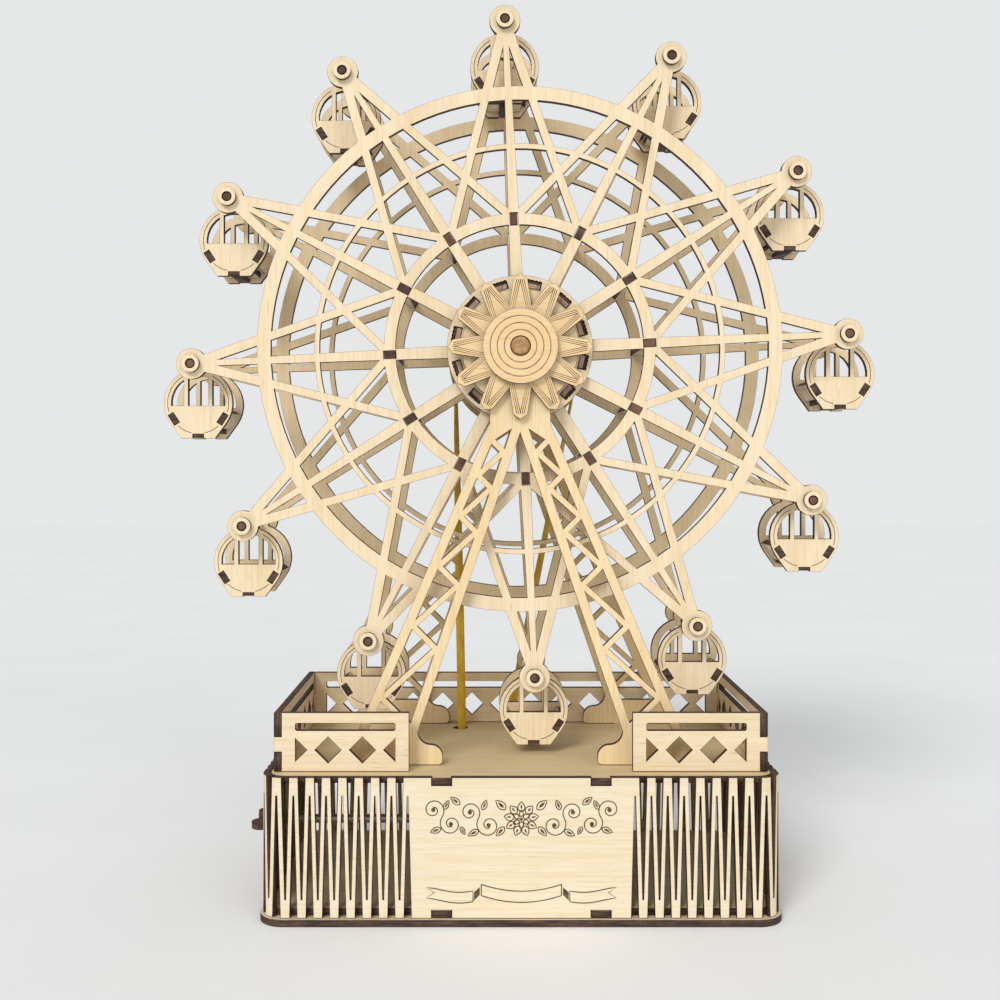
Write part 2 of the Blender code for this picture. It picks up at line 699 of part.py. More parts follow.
def tip_outline():
    """The outline round the tip along X and along the rim to the next tip."""
    tip = polar(TIP_CIRCLE, 0.0)
    flank = edge(tip, polar(NODE_CIRCLE, SECTOR_DEG), -ARM_OUTER_WIDTH / 2)
    at_tip = bearing(meet_circle(flank, TIP_RADIUS, True, tip), tip)
    at_rim = bearing(meet_circle(flank, RIM_RADIUS, False))
    cap = arc(TIP_RADIUS, -at_tip, at_tip, COARSE_ARC_STEP_DEG, tip)
    return cap + arc(RIM_RADIUS, at_rim, SECTOR_DEG - at_rim)


def plate_loops():
    outline, holes = [], []
    for sector in range(SECTORS):
        degrees = sector * SECTOR_DEG
        outline += rotated(tip_outline(), degrees)
        holes += [rotated(hole, degrees) for hole in sector_holes()]
        holes.append(round_hole(PIN_BORE, PIN_BORE_SIDES, polar(TIP_CIRCLE, degrees)))
        node = polar(NODE_CIRCLE, degrees)
        holes.append(rectangle(SPACER_DEPTH + 2 * FIT, SPACER_WIDTH + 2 * FIT, node, degrees))
    holes.append(round_hole(AXLE_BORE))
    return [outline] + holes


def hub_disc_loops():
    slots = []
    for sector in range(SECTORS):
        degrees = (sector + 0.5) * SECTOR_DEG
        center = polar(SLAT_CIRCLE, degrees)
        slots.append(rectangle(PLY, SLAT_SLOT_LENGTH, center, degrees))
    return [circle(HUB_RADIUS, MEDIUM_ARC_STEP_DEG)] + slots + [round_hole(AXLE_BORE)]


def build_wheel():
    """The two plates, their spacers and the hub, all on one empty at the axle."""
    center = Vector((0.0, WHEEL_MIDDLE_Y, AXLE_HEIGHT))
    pieces = []
    for name, y in (("wheel_plate_front", PLATE_FRONT_Y), ("wheel_plate_back", PLATE_BACK_Y)):
        spot = (0, y, AXLE_HEIGHT)
        pieces.append(flat_piece(name, plate_loops(), PLY, CREAM_PLY, WHEEL_TURN, spot))
    for name, y in (("hub_disc_front", HUB_FRONT_Y), ("hub_disc_back", HUB_BACK_Y)):
        spot = (0, y, AXLE_HEIGHT)
        pieces.append(flat_piece(name, hub_disc_loops(), PLY, CREAM_PLY, WHEEL_TURN, spot))
    size = (SPACER_DEPTH, SPACER_WIDTH, PLATE_SPACING + PLY)
    for sector in range(SECTORS):
        local = polar(NODE_CIRCLE, sector * SECTOR_DEG)
        spot = center + (WHEEL_TURN @ Vector((local.x, local.y, 0.0)))
        turn = WHEEL_TURN @ Matrix.Rotation(math.radians(sector * SECTOR_DEG), 4, "Z")
        pieces.append(box_piece(f"ring_spacer_{sector + 1:02d}", size, CREAM_PLY, turn, spot))
    half = (PLATE_SPACING - PLY) / 2 - FIT
    inner, outer = SLAT_CIRCLE - PLY / 2, SLAT_CIRCLE + PLY / 2
    sleeve = [(outer, half), (outer, -half), (inner, -half), (inner, half)]
    pieces.append(turned_piece("hub_drum", sleeve, CREAM_PLY, ALONG_Y, center))
    pieces.append(build_axle())
    pieces.append(build_drive_pulley())
    axis_empty("wheel_axis", center, pieces)


def build_axle():
    front = CAP_FRONT_Y - PLY / 2 - AXLE_PROUD
    back = CAP_BACK_Y + PLY / 2 + AXLE_PROUD
    half = (back - front) / 2
    profile = [(0.0, half), (AXLE_RADIUS, half), (AXLE_RADIUS, -half), (0.0, -half)]
    spot = (0, (front + back) / 2, AXLE_HEIGHT)
    return turned_piece("main_axle", profile, DOWEL, ALONG_Y, spot)


def pulley_profile(groove, flange, bore, lower, upper):
    """A grooved pulley about height zero, with a boss that ends at lower and upper."""
    inside = GROOVE_WIDTH / 2
    outside = inside + PULLEY_FLANGE
    boss = min(PULLEY_BOSS_RADIUS, groove)
    return [
        (bore, upper),
        (boss, upper),
        (boss, outside),
        (flange, outside),
        (flange, inside),
        (groove, inside),
        (groove, -inside),
        (flange, -inside),
        (flange, -outside),
        (boss, -outside),
        (boss, lower),
        (bore, lower),
    ]


def build_drive_pulley():
    groove = DRIVE_BAND_CIRCLE - BAND_THICKNESS / 2 - 2 * FIT
    bore = AXLE_BORE / math.cos(math.pi / TURNED_STEPS)
    lower = BOSS_FRONT_REACH - PULLEY_REACH
    upper = BOSS_BACK_REACH - PULLEY_REACH
    profile = pulley_profile(groove, DRIVE_PULLEY_RADIUS, bore, lower, upper)
    return turned_piece("drive_pulley", profile, TAN_PLY, ALONG_Y, (0, PULLEY_Y, AXLE_HEIGHT))


def cabin_frame_loops():
    """An end frame. The pin is at the origin and the round frame hangs below it."""
    middle = Vector((0.0, -CABIN_DROP))
    foot_x, foot_y = CABIN_FOOT_WIDTH / 2, -CABIN_DROP - CABIN_FOOT_DROP
    notch_x, notch_y = CABIN_NOTCH_WIDTH / 2, foot_y + CABIN_NOTCH_HEIGHT
    reach = CABIN_RADIUS**2 - CABIN_LUG_RADIUS**2 + CABIN_DROP**2
    join_y = reach / (2 * CABIN_DROP)
    join = middle + Vector((math.sqrt(CABIN_RADIUS**2 - join_y**2), join_y))
    foot = Vector((foot_x, -CABIN_FOOT_DROP))
    foot_deg = bearing(foot) + math.degrees(math.acos(CABIN_RADIUS / foot.length))
    step = COARSE_ARC_STEP_DEG
    half = [Vector((notch_x, notch_y)), Vector((notch_x, foot_y)), Vector((foot_x, foot_y))]
    half += arc(CABIN_RADIUS, foot_deg, bearing(join, middle), step, middle)
    half += arc(CABIN_LUG_RADIUS, bearing(join), 90.0, 2 * step)[1:]
    outline = half + mirrored(half)[1:]

    bar_in = (CABIN_MULLION_SPACING - CABIN_MULLION_WIDTH) / 2
    bar_out = (CABIN_MULLION_SPACING + CABIN_MULLION_WIDTH) / 2
    sill = -CABIN_SILL_DROP
    top_deg = math.degrees(math.acos(bar_in / CABIN_WINDOW_RADIUS))
    center_window = [middle + Vector((bar_in, sill))]
    center_window += arc(CABIN_WINDOW_RADIUS, top_deg, 180.0 - top_deg, step, middle)
    center_window.append(middle + Vector((-bar_in, sill)))
    sill_deg = math.degrees(math.asin(sill / CABIN_WINDOW_RADIUS))
    side_deg = math.degrees(math.acos(bar_out / CABIN_WINDOW_RADIUS))
    side_window = [middle + Vector((bar_out, sill))]
    side_window += arc(CABIN_WINDOW_RADIUS, sill_deg, side_deg, step, middle)
    return [outline, center_window, side_window, mirrored(side_window)]


def cabin_mesh():
    """One cabin with its pin, as one solid about the pin's axis."""
    frame_y = (CABIN_LENGTH - PLY) / 2
    between = CABIN_LENGTH - 2 * PLY + 2 * OVERRUN
    loops = cabin_frame_loops()
    front = flat_piece("cabin_front", loops, PLY, CREAM_PLY, FACING_FRONT, (0, -frame_y, 0))
    back = flat_piece("cabin_back", loops, PLY, CREAM_PLY, FACING_FRONT, (0, frame_y, 0))
    joined = [back]
    for name, degrees in (("left", -90.0 - CABIN_PANEL_DEG), ("right", -90.0 + CABIN_PANEL_DEG)):
        spot = polar(CABIN_PANEL_CIRCLE, degrees, Vector((0.0, -CABIN_DROP)))
        turn = Matrix.Rotation(math.radians(-degrees), 4, "Y")
        size = (PLY, between, CABIN_PANEL_WIDTH)
        joined.append(box_piece("cabin_" + name, size, CREAM_PLY, turn, (spot.x, 0, spot.y)))
    floor_z = -CABIN_DROP - CABIN_FOOT_DROP + CABIN_NOTCH_HEIGHT + PLY / 2 + FIT
    size = (CABIN_FOOT_WIDTH, between, PLY)
    joined.append(box_piece("cabin_floor", size, CREAM_PLY, LEVEL, (0, 0, floor_z)))
    half = PLATE_SPACING / 2 + PLY / 2 + FIT
    end = half + PIN_WASHER_LENGTH
    side = [(PIN_WASHER_RADIUS, end), (PIN_WASHER_RADIUS, half), (PIN_RADIUS, half)]
    other_side = [(radius, -height) for radius, height in reversed(side)]
    profile = [(0.0, end)] + side + other_side + [(0.0, -end)]
    joined.append(turned_piece("cabin_pin", profile, DOWEL, ALONG_Y, (0, 0, 0), PIN_STEPS))
    cabin = joined_piece(front, joined, "cabin_draft", CREAM_PLY)
    mesh = cabin.data
    mesh.transform(cabin.matrix_world)
    bpy.data.objects.remove(cabin, do_unlink=True)
    return mesh


def build_cabins():
    """Twelve cabins, each hanging level from its own pin."""
    mesh = cabin_mesh()
    for sector in range(SECTORS):
        local = polar(TIP_CIRCLE, sector * SECTOR_DEG + WHEEL_PHASE_DEG)
        cabin = bpy.data.objects.new(f"cabin_{sector + 1:02d}", mesh)
        PARTS.objects.link(cabin)
        cabin.location = (local.x, WHEEL_MIDDLE_Y, AXLE_HEIGHT + local.y)


def outer_rail(height):
    return TOWER_NECK_WIDTH / 2 + OUTER_RAIL_SLOPE * (TOWER_NECK_HEIGHT - height)


def inner_rail(height):
    return INNER_RAIL_SLOPE * (TOWER_CROTCH_HEIGHT - height)


def ogee_top():
    return DECK_REST + OGEE_STEP + OGEE_LOWER + OGEE_UPPER


def foot_inside():
    return inner_rail(ogee_top()) - OGEE_UPPER - OGEE_LOWER


def foot_middle():
    return (foot_inside() + outer_rail(DECK_REST)) / 2


def tower_outline():
    """An A-shaped tower with a round head and ogee feet, whose tabs enter the deck."""
    head = Vector((0.0, AXLE_HEIGHT))
    top = ogee_top()
    inside, outside = foot_inside(), outer_rail(DECK_REST)
    tab_left, tab_right = foot_middle() - FOOT_TAB_WIDTH / 2, foot_middle() + FOOT_TAB_WIDTH / 2
    tab_end = BASE_HEIGHT - PLY
    neck = TOWER_NECK_WIDTH / 2
    step = MEDIUM_ARC_STEP_DEG
    upper_center = Vector((inside + OGEE_LOWER, top))
    lower_center = upper_center - Vector((0.0, OGEE_UPPER + OGEE_LOWER))
    toe = Vector((TOE_RADIUS, TOE_RADIUS))
    half = arc(OGEE_UPPER, 0.0, -90.0, 2 * step, upper_center)
    half += arc(OGEE_LOWER, 90.0, 180.0, 2 * step, lower_center)[1:]
    half += arc(TOE_RADIUS, 180.0, 270.0, 3 * step, Vector((inside, DECK_REST)) + toe)
    half.append(Vector((tab_left, DECK_REST)))
    half += [Vector((tab_left, tab_end)), Vector((tab_right, tab_end))]
    half += [Vector((tab_right, DECK_REST)), Vector((outside, DECK_REST))]
    half.append(Vector((neck, TOWER_NECK_HEIGHT)))
    neck_deg = -math.degrees(math.acos(neck / TOWER_HEAD_RADIUS))
    half += arc(TOWER_HEAD_RADIUS, neck_deg, 90.0, step, head)
    crotch = Vector((0.0, TOWER_CROTCH_HEIGHT))
    return [crotch] + half + mirrored(half)[1:]


def lattice_holes():
    """The bays of the right leg, between braces that climb from rail to rail."""
    outer_width = TOWER_RAIL * math.hypot(1.0, OUTER_RAIL_SLOPE)
    inner_width = TOWER_RAIL * math.hypot(1.0, INNER_RAIL_SLOPE)

    def on_outer(height):
        return Vector((outer_rail(height) - outer_width, height))

    def on_inner(height):
        return Vector((inner_rail(height) + inner_width, height))

    outer = edge(on_outer(LATTICE_FLOOR), on_outer(LATTICE_TOP))
    inner = edge(on_inner(LATTICE_FLOOR), on_inner(LATTICE_TOP))
    inward = Vector((-1.0, BRACE_SLOPE_INWARD)).normalized()
    outward = Vector((1.0, 1.0)).normalized()
    half = TOWER_BRACE / 2
    first = on_outer(LATTICE_FIRST_NODE)
    below = meet((first, outward), inner)
    floor_bay = [on_outer(LATTICE_FLOOR), first, below, on_inner(LATTICE_FLOOR)]
    bays = [narrowed(floor_bay, (0.0, half, 0.0, 0.0))]
    nodes = [below, first]
    while nodes[-1].y < LATTICE_TOP:
        to_inner = len(nodes) % 2 == 0
        line = (nodes[-1], inward if to_inner else outward)
        nodes.append(meet(line, inner if to_inner else outer))
        if nodes[-1].y < LATTICE_TOP:
            bays.append(narrowed(nodes[-3:], (half, half, 0.0)))
    start, turn = nodes[-3], nodes[-2]
    end = on_outer(LATTICE_TOP) if len(nodes) % 2 == 0 else on_inner(LATTICE_TOP)
    bays.append(narrowed([start, turn, end], (half, 0.0, 0.0)))
    return bays


def build_towers():
    holes = lattice_holes()
    holes += [mirrored(hole) for hole in holes]
    holes.append(round_hole(AXLE_BORE, BORE_SIDES, Vector((0.0, AXLE_HEIGHT))))
    loops = [tower_outline()] + holes
    for name, y in (("tower_front", TOWER_FRONT_Y), ("tower_back", TOWER_BACK_Y)):
        flat_piece(name, loops, PLY, TAN_PLY, FACING_FRONT, (0, y, 0))


def build_star_and_caps():
    """The star plate and the cap discs that hold the axle's two ends."""
    half = STAR_RAY_WIDTH / 2
    shoulder = STAR_RADIUS - STAR_SHOULDER_SHARE * STAR_RAY_WIDTH
    ray = [polar(STAR_VALLEY, -SECTOR_DEG / 2), Vector((shoulder, -half))]
    ray += [Vector((STAR_RADIUS, 0.0)), Vector((shoulder, half))]
    outline = []
    for sector in range(SECTORS):
        outline += rotated(ray, sector * SECTOR_DEG)
    star = [outline, round_hole(AXLE_BORE)]
    cap = [circle(CAP_RADIUS, MEDIUM_ARC_STEP_DEG), round_hole(AXLE_BORE)]
    for name, loops, y in (
        ("star_plate_front", star, STAR_Y),
        ("cap_disc_front", cap, CAP_FRONT_Y),
        ("cap_disc_back", cap, CAP_BACK_Y),
    ):
        flat_piece(name, loops, PLY, TAN_PLY, FACING_FRONT, (0, y, AXLE_HEIGHT))


def fence_holes(width):
    """A long slot over a row of diamonds with half a diamond at each end."""
    span = width - 2 * FENCE_MARGIN
    slot_y = FENCE_HEIGHT - FENCE_SLOT_DROP - FENCE_SLOT_HEIGHT / 2
    holes = [rectangle(span, FENCE_SLOT_HEIGHT, Vector((0.0, slot_y)))]
    room = span - 2 * END_TRIANGLE_WIDTH - DIAMOND_GAP
    count = round(room / (DIAMOND_WIDTH + DIAMOND_GAP))
    pitch = room / count
    half_width, half_height = DIAMOND_WIDTH / 2, DIAMOND_HEIGHT / 2
    for number in range(count):
        x = (number - (count - 1) / 2) * pitch
        holes.append(
            [
                Vector((x - half_width, DIAMOND_RISE)),
                Vector((x, DIAMOND_RISE - half_height)),
                Vector((x + half_width, DIAMOND_RISE)),
                Vector((x, DIAMOND_RISE + half_height)),
            ]
        )
    end = span / 2
    triangle = [
        Vector((end, DIAMOND_RISE - END_TRIANGLE_HEIGHT / 2)),
        Vector((end, DIAMOND_RISE + END_TRIANGLE_HEIGHT / 2)),
        Vector((end - END_TRIANGLE_WIDTH, DIAMOND_RISE)),
    ]
    return holes + [triangle, mirrored(triangle)]


def fence_loops(width, right_finger, left_finger, clearance=0.0):
    """A fence piece: a finger stands out of an end, or is a notch where it is negative."""
    right, left = width / 2, -width / 2
    low = FINGER_RISE - clearance
    high = FINGER_RISE + FINGER_HEIGHT + clearance
    outline = [(left, 0.0), (right, 0.0)]
    if right_finger:
        reach = right + right_finger
        outline += [(right, low), (reach, low), (reach, high), (right, high)]
    outline += [(right, FENCE_HEIGHT), (left, FENCE_HEIGHT)]
    if left_finger:
        reach = left - left_finger
        outline += [(left, high), (reach, high), (reach, low), (left, low)]
    return [[Vector(point) for point in outline]] + fence_holes(width)


def build_fences():
    """Two short pieces in front, one on each side and one across the back."""
    finger = PLY + FIT
    front_x = FENCE_HALF_SPAN - FIT - FENCE_FRONT_WIDTH / 2
    front_right = fence_loops(FENCE_FRONT_WIDTH, finger, 0.0)
    front_left = fence_loops(FENCE_FRONT_WIDTH, 0.0, finger)
    back = fence_loops(2 * (FENCE_HALF_SPAN - FIT), finger, finger)
    side = fence_loops(FENCE_SIDE_LENGTH, -PLY - FIT, -PLY - FIT, FIT)
    side_x = FENCE_HALF_SPAN + PLY / 2
    for name, loops, turn, x, y in (
        ("fence_front_left", front_left, FACING_FRONT, -front_x, FENCE_FRONT_Y),
        ("fence_front_right", front_right, FACING_FRONT, front_x, FENCE_FRONT_Y),
        ("fence_back", back, FACING_FRONT, 0.0, FENCE_BACK_Y),
        ("fence_left", side, FACING_SIDE, -side_x, FENCE_SIDE_Y),
        ("fence_right", side, FACING_SIDE, side_x, FENCE_SIDE_Y),
    ):
        flat_piece(name, loops, PLY, CREAM_PLY, turn, (x, y, DECK_REST))


def band_tangents():
    """Directions from a pulley's centre to where the band's two strands leave it."""
    run = Vector((ARBOR_X, ARBOR_HEIGHT)) - Vector((0.0, AXLE_HEIGHT))
    spread = math.degrees(math.acos((DRIVE_BAND_CIRCLE - SMALL_BAND_CIRCLE) / run.length))
    return bearing(run) + spread, bearing(run) - spread


def band_crossings(height):
    """Where the band's two strands cross a height."""
    places = []
    for degrees in band_tangents():
        start = polar(DRIVE_BAND_CIRCLE, degrees, Vector((0.0, AXLE_HEIGHT)))
        end = polar(SMALL_BAND_CIRCLE, degrees, Vector((ARBOR_X, ARBOR_HEIGHT)))
        places.append(start.x + (end.x - start.x) * (height - start.y) / (end.y - start.y))
    return places


def build_drive_band():
    """A closed rubber loop round both pulleys."""
    right, left = band_tangents()
    big, small = Vector((0.0, AXLE_HEIGHT)), Vector((ARBOR_X, ARBOR_HEIGHT))
    route = arc(DRIVE_BAND_CIRCLE, right, left + 360.0, MEDIUM_ARC_STEP_DEG, big)
    route += arc(SMALL_BAND_CIRCLE, left, right, COARSE_ARC_STEP_DEG, small)
    curve = bpy.data.curves.new("drive_band", "CURVE")
    curve.dimensions = "3D"
    curve.bevel_depth = BAND_THICKNESS / 2
    curve.bevel_resolution = 1
    spline = curve.splines.new("POLY")
    spline.points.add(len(route) - 1)
    for point, spot in zip(spline.points, route):
        point.co = (spot.x, PULLEY_Y, spot.y, 1.0)
    spline.use_cyclic_u = True
    curve.materials.append(finish_material(YELLOW_RUBBER))
    band = bpy.data.objects.new("drive_band", curve)
    PARTS.objects.link(band)


def movement_bedplate():
    left = ARBOR_X - BARREL_RADIUS - BEDPLATE_MARGIN
    right = COMB_END + BEDPLATE_MARGIN
    depth = POST_BACK_Y - POST_FRONT_Y + 2 * BEDPLATE_MARGIN
    plate_y = (POST_FRONT_Y + POST_BACK_Y) / 2
    size = (right - left, depth, BEDPLATE_THICKNESS)
    spot = ((left + right) / 2, plate_y, BEDPLATE_TOP - BEDPLATE_THICKNESS / 2)
    plate = box_piece("bedplate_draft", size, BRASS, LEVEL, spot)
    bottom = BEDPLATE_TOP - OVERRUN
    top = ARBOR_HEIGHT + POST_ABOVE_ARBOR
    middle = Vector((0.0, (bottom + top) / 2))
    loops = [rectangle(POST_WIDTH, top - bottom, middle)]
    loops.append(round_hole(ARBOR_BORE, PIN_BORE_SIDES, Vector((0.0, ARBOR_HEIGHT))))
    posts = []
    for name, y in (("post_front", POST_FRONT_Y), ("post_back", POST_BACK_Y)):
        posts.append(flat_piece(name, loops, POST_THICKNESS, BRASS, FACING_FRONT, (ARBOR_X, y, 0)))
    joined_piece(plate, posts, "movement_bedplate", BRASS)


def movement_comb():
    """A steel comb whose tips reach the cylinder, on a block that stands on the bedplate."""
    pitch = CYLINDER_LENGTH / COMB_TEETH
    low, high = CYLINDER_Y - CYLINDER_LENGTH / 2, CYLINDER_Y + CYLINDER_LENGTH / 2
    outline = [Vector((COMB_END, low)), Vector((COMB_END, high)), Vector((COMB_ROOT, high))]
    for tooth in range(COMB_TEETH):
        upper = high - tooth * pitch - COMB_TOOTH_GAP / 2
        lower = upper - pitch + COMB_TOOTH_GAP
        outline += [Vector((COMB_ROOT, upper)), Vector((COMB_TIPS, upper))]
        outline += [Vector((COMB_TIPS, lower)), Vector((COMB_ROOT, lower))]
    outline.append(Vector((COMB_ROOT, low)))
    spot = (0, 0, ARBOR_HEIGHT)
    comb = flat_piece("comb_draft", [outline], COMB_THICKNESS, STEEL, LEVEL, spot)
    bottom = BEDPLATE_TOP + FIT
    size = (COMB_ROOT_LENGTH, CYLINDER_LENGTH, ARBOR_HEIGHT - bottom)
    spot = ((COMB_ROOT + COMB_END) / 2, CYLINDER_Y, (ARBOR_HEIGHT + bottom) / 2)
    block = box_piece("comb_block", size, STEEL, LEVEL, spot)
    joined_piece(comb, [block], "movement_comb", STEEL)


def movement_governor():
    """The housing beside the spring barrel and the gear."""
    front, back = GEAR_Y - GEAR_THICKNESS / 2, BARREL_Y + BARREL_LENGTH / 2
    size = (GOVERNOR_LENGTH, back - front, GOVERNOR_HEIGHT)
    x = ARBOR_X + BARREL_RADIUS + GOVERNOR_GAP + GOVERNOR_LENGTH / 2
    y = (front + back) / 2
    z = BEDPLATE_TOP + FIT + GOVERNOR_HEIGHT / 2
    housing = box_piece("governor_housing", size, BRASS, LEVEL, (x, y, z))
    bevel = housing.modifiers.new("edges", "BEVEL")
    bevel.width = GOVERNOR_BEVEL
    bevel.segments = 1


def turning_movement():
    """The arbor and everything on it, about one axis along Y."""
    pieces = []
    bore = ARBOR_BORE / math.cos(math.pi / SMALL_TURNED_STEPS)
    front = POST_FRONT_Y - POST_THICKNESS
    back = PULLEY_Y + GROOVE_WIDTH / 2 + PULLEY_FLANGE + OVERRUN
    half = (back - front) / 2
    profile = [(0.0, half), (ARBOR_RADIUS, half), (ARBOR_RADIUS, -half), (0.0, -half)]
    spot = (ARBOR_X, (front + back) / 2, ARBOR_HEIGHT)
    pieces.append(turned_piece("arbor", profile, STEEL, ALONG_Y, spot, SMALL_TURNED_STEPS))
    for name, radius, length, y in (
        ("pinned_cylinder", CYLINDER_RADIUS, CYLINDER_LENGTH, CYLINDER_Y),
        ("spring_barrel", BARREL_RADIUS, BARREL_LENGTH, BARREL_Y),
    ):
        half = length / 2
        profile = [(radius, half), (radius, -half), (bore, -half), (bore, half)]
        spot = (ARBOR_X, y, ARBOR_HEIGHT)
        pieces.append(turned_piece(name, profile, BRASS, ALONG_Y, spot, SMALL_TURNED_STEPS))
    teeth = []
    for tooth in range(GEAR_TEETH):
        degrees = 360.0 * tooth / GEAR_TEETH
        teeth.append(polar(GEAR_RADIUS, degrees))
        teeth.append(polar(GEAR_RADIUS - GEAR_TOOTH_DEPTH, degrees + 180.0 / GEAR_TEETH))
    loops = [teeth, round_hole(ARBOR_BORE, PIN_BORE_SIDES)]
    spot = (ARBOR_X, GEAR_Y, ARBOR_HEIGHT)
    pieces.append(flat_piece("cylinder_gear", loops, GEAR_THICKNESS, BRASS, FACING_FRONT, spot))
    groove = SMALL_BAND_CIRCLE - BAND_THICKNESS / 2 - 2 * FIT
    reach = GROOVE_WIDTH / 2 + PULLEY_FLANGE + FIT
    profile = pulley_profile(groove, SMALL_PULLEY_RADIUS, bore, -reach, reach)
    spot = (ARBOR_X, PULLEY_Y, ARBOR_HEIGHT)
    turned = turned_piece("small_pulley", profile, TAN_PLY, ALONG_Y, spot, SMALL_TURNED_STEPS)
    pieces.append(turned)
    axis_empty("movement_axis", (ARBOR_X, 0.0, ARBOR_HEIGHT), pieces)


def build_winding_key():
    """A two-layer wooden key outside the left wall, on a shaft that reaches the barrel."""
    key_x = -WALL_HALF_WIDTH - KEY_WALL_GAP
    lobe = Vector((KEY_LENGTH - KEY_LOBE_RADIUS, KEY_WIDTH / 2 - KEY_LOBE_RADIUS))
    shoulder = lobe.x - KEY_LOBE_RADIUS
    half = [Vector((KEY_WAIST_LENGTH, 0.0))]
    half += arc(KEY_LOBE_RADIUS, KEY_LOBE_START_DEG, 180.0, COARSE_ARC_STEP_DEG, lobe)
    half += [Vector((shoulder, KEY_HUB_WIDTH / 2)), Vector((0.0, KEY_HUB_WIDTH / 2))]
    outline = half + [Vector((point.x, -point.y)) for point in reversed(half[1:])]
    turn = Matrix.Rotation(math.pi, 4, "Z")
    spot = Vector((key_x, BARREL_Y, KEY_HEIGHT))
    key = flat_piece("winding_key", [outline], KEY_THICKNESS, SCORCHED, turn, spot)
    bore = (KEY_SHAFT_RADIUS + FIT) / math.cos(math.pi / SMALL_TURNED_STEPS)
    profile = [(0.0, OVERRUN), (bore, OVERRUN), (bore, -KEY_BORE_DEPTH), (0.0, -KEY_BORE_DEPTH)]
    drill = turned_piece("key_bore", profile, SCORCHED, ALONG_X, spot, SMALL_TURNED_STEPS)
    make_cutter(drill)
    socket = key.modifiers.new("socket", "BOOLEAN")
    socket.operation = "DIFFERENCE"
    socket.object = drill

    start = key_x - KEY_BORE_DEPTH + FIT
    end = ARBOR_X - BARREL_RADIUS - FIT
    top, pinion = end - key_x, end - key_x - PINION_LENGTH
    profile = [
        (0.0, top),
        (PINION_RADIUS, top),
        (PINION_RADIUS, pinion),
        (KEY_SHAFT_RADIUS, pinion),
        (KEY_SHAFT_RADIUS, start - key_x),
        (0.0, start - key_x),
    ]
    shaft = turned_piece("key_shaft", profile, STEEL, ALONG_X, spot, SMALL_TURNED_STEPS)
    axis_empty("key_axis", spot, [key, shaft, drill])


def main():
    build_base()
    build_towers()
    build_star_and_caps()
    build_fences()
    build_wheel()
    build_cabins()
    build_drive_band()
    movement_bedplate()
    movement_comb()
    movement_governor()
    turning_movement()
    build_winding_key()
    bpy.context.view_layer.update()


main()
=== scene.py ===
"""Looks of the ferris wheel music box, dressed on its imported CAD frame.

Metres, +Z up, the front faces -Y. Each sheet is cut again from the part's own outlines with finer
curves, then gets a pale plywood face and a laser burnt edge. Every piece rides on a CAD body.
"""

import json
import logging
import math
import random
from dataclasses import dataclass, field
from enum import Enum

import bmesh
import bpy
from mathutils import Matrix, Vector


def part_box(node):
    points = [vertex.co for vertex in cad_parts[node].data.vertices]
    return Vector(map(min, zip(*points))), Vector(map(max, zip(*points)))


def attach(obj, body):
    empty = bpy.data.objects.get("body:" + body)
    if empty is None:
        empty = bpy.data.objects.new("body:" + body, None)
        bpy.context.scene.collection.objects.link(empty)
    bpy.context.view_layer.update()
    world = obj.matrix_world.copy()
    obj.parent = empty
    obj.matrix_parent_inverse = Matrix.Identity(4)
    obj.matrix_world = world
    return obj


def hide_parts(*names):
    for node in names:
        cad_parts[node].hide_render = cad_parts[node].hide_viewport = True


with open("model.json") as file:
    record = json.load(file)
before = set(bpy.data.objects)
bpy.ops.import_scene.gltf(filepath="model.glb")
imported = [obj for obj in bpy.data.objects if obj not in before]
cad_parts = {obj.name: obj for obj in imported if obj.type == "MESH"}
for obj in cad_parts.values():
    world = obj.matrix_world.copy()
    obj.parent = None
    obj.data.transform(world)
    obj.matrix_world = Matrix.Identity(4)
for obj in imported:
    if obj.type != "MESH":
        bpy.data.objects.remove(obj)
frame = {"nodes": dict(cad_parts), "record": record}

LOG = logging.getLogger("ferris_wheel_music_box")

Loop = list[Vector]
Triple = tuple[float, float, float]
Tree = bpy.types.NodeTree
Socket = bpy.types.NodeSocket
Node = bpy.types.Node
Material = bpy.types.Material
Object = bpy.types.Object

PLY = 0.003
FIT = 0.0003
SECTORS = 12
SECTOR_DEG = 360.0 / SECTORS
PHASE_DEG = 2.6
FINE_DEG = 4.0
SOFT_EDGE = 0.00012
POCKET_DEPTH = 0.0002
AXLE_BORE = 0.0043
ORIGIN = Vector((0.0, 0.0))
CENTER = Vector((0.0, 0.0, 0.0))


class Facing(Enum):
    """Which way the front of a flat sheet looks once it is placed."""

    UP = 0
    FRONT = 1
    SIDE = 2
    BACK = 3

    @property
    def turn(self) -> Matrix:
        """The rotation that stands a sheet drawn in X and Y."""
        front = Matrix.Rotation(math.pi / 2, 4, "X")
        turns = (
            Matrix.Identity(4),
            front,
            Matrix.Rotation(math.pi / 2, 4, "Z") @ front,
            Matrix.Rotation(math.pi, 4, "Z") @ front,
        )
        return turns[self.value]


class Grain(Enum):
    """How object coordinates are stretched, so that grain runs along one axis."""

    ALONG_X = (26.0, 900.0, 900.0)
    ALONG_Y = (900.0, 26.0, 900.0)
    ALONG_Z = (900.0, 900.0, 26.0)


class Layers(Enum):
    """How an edge's coordinates are stretched, so that its plies lie across one axis."""

    ACROSS_X = (1500.0, 90.0, 90.0)
    ACROSS_Y = (90.0, 1500.0, 90.0)
    ACROSS_Z = (90.0, 90.0, 1500.0)


# Outlines in the plane


def polar(radius: float, degrees: float, center: Vector = ORIGIN) -> Vector:
    """A point at a radius and a bearing from a centre."""
    angle = math.radians(degrees)
    return center + Vector((radius * math.cos(angle), radius * math.sin(angle)))


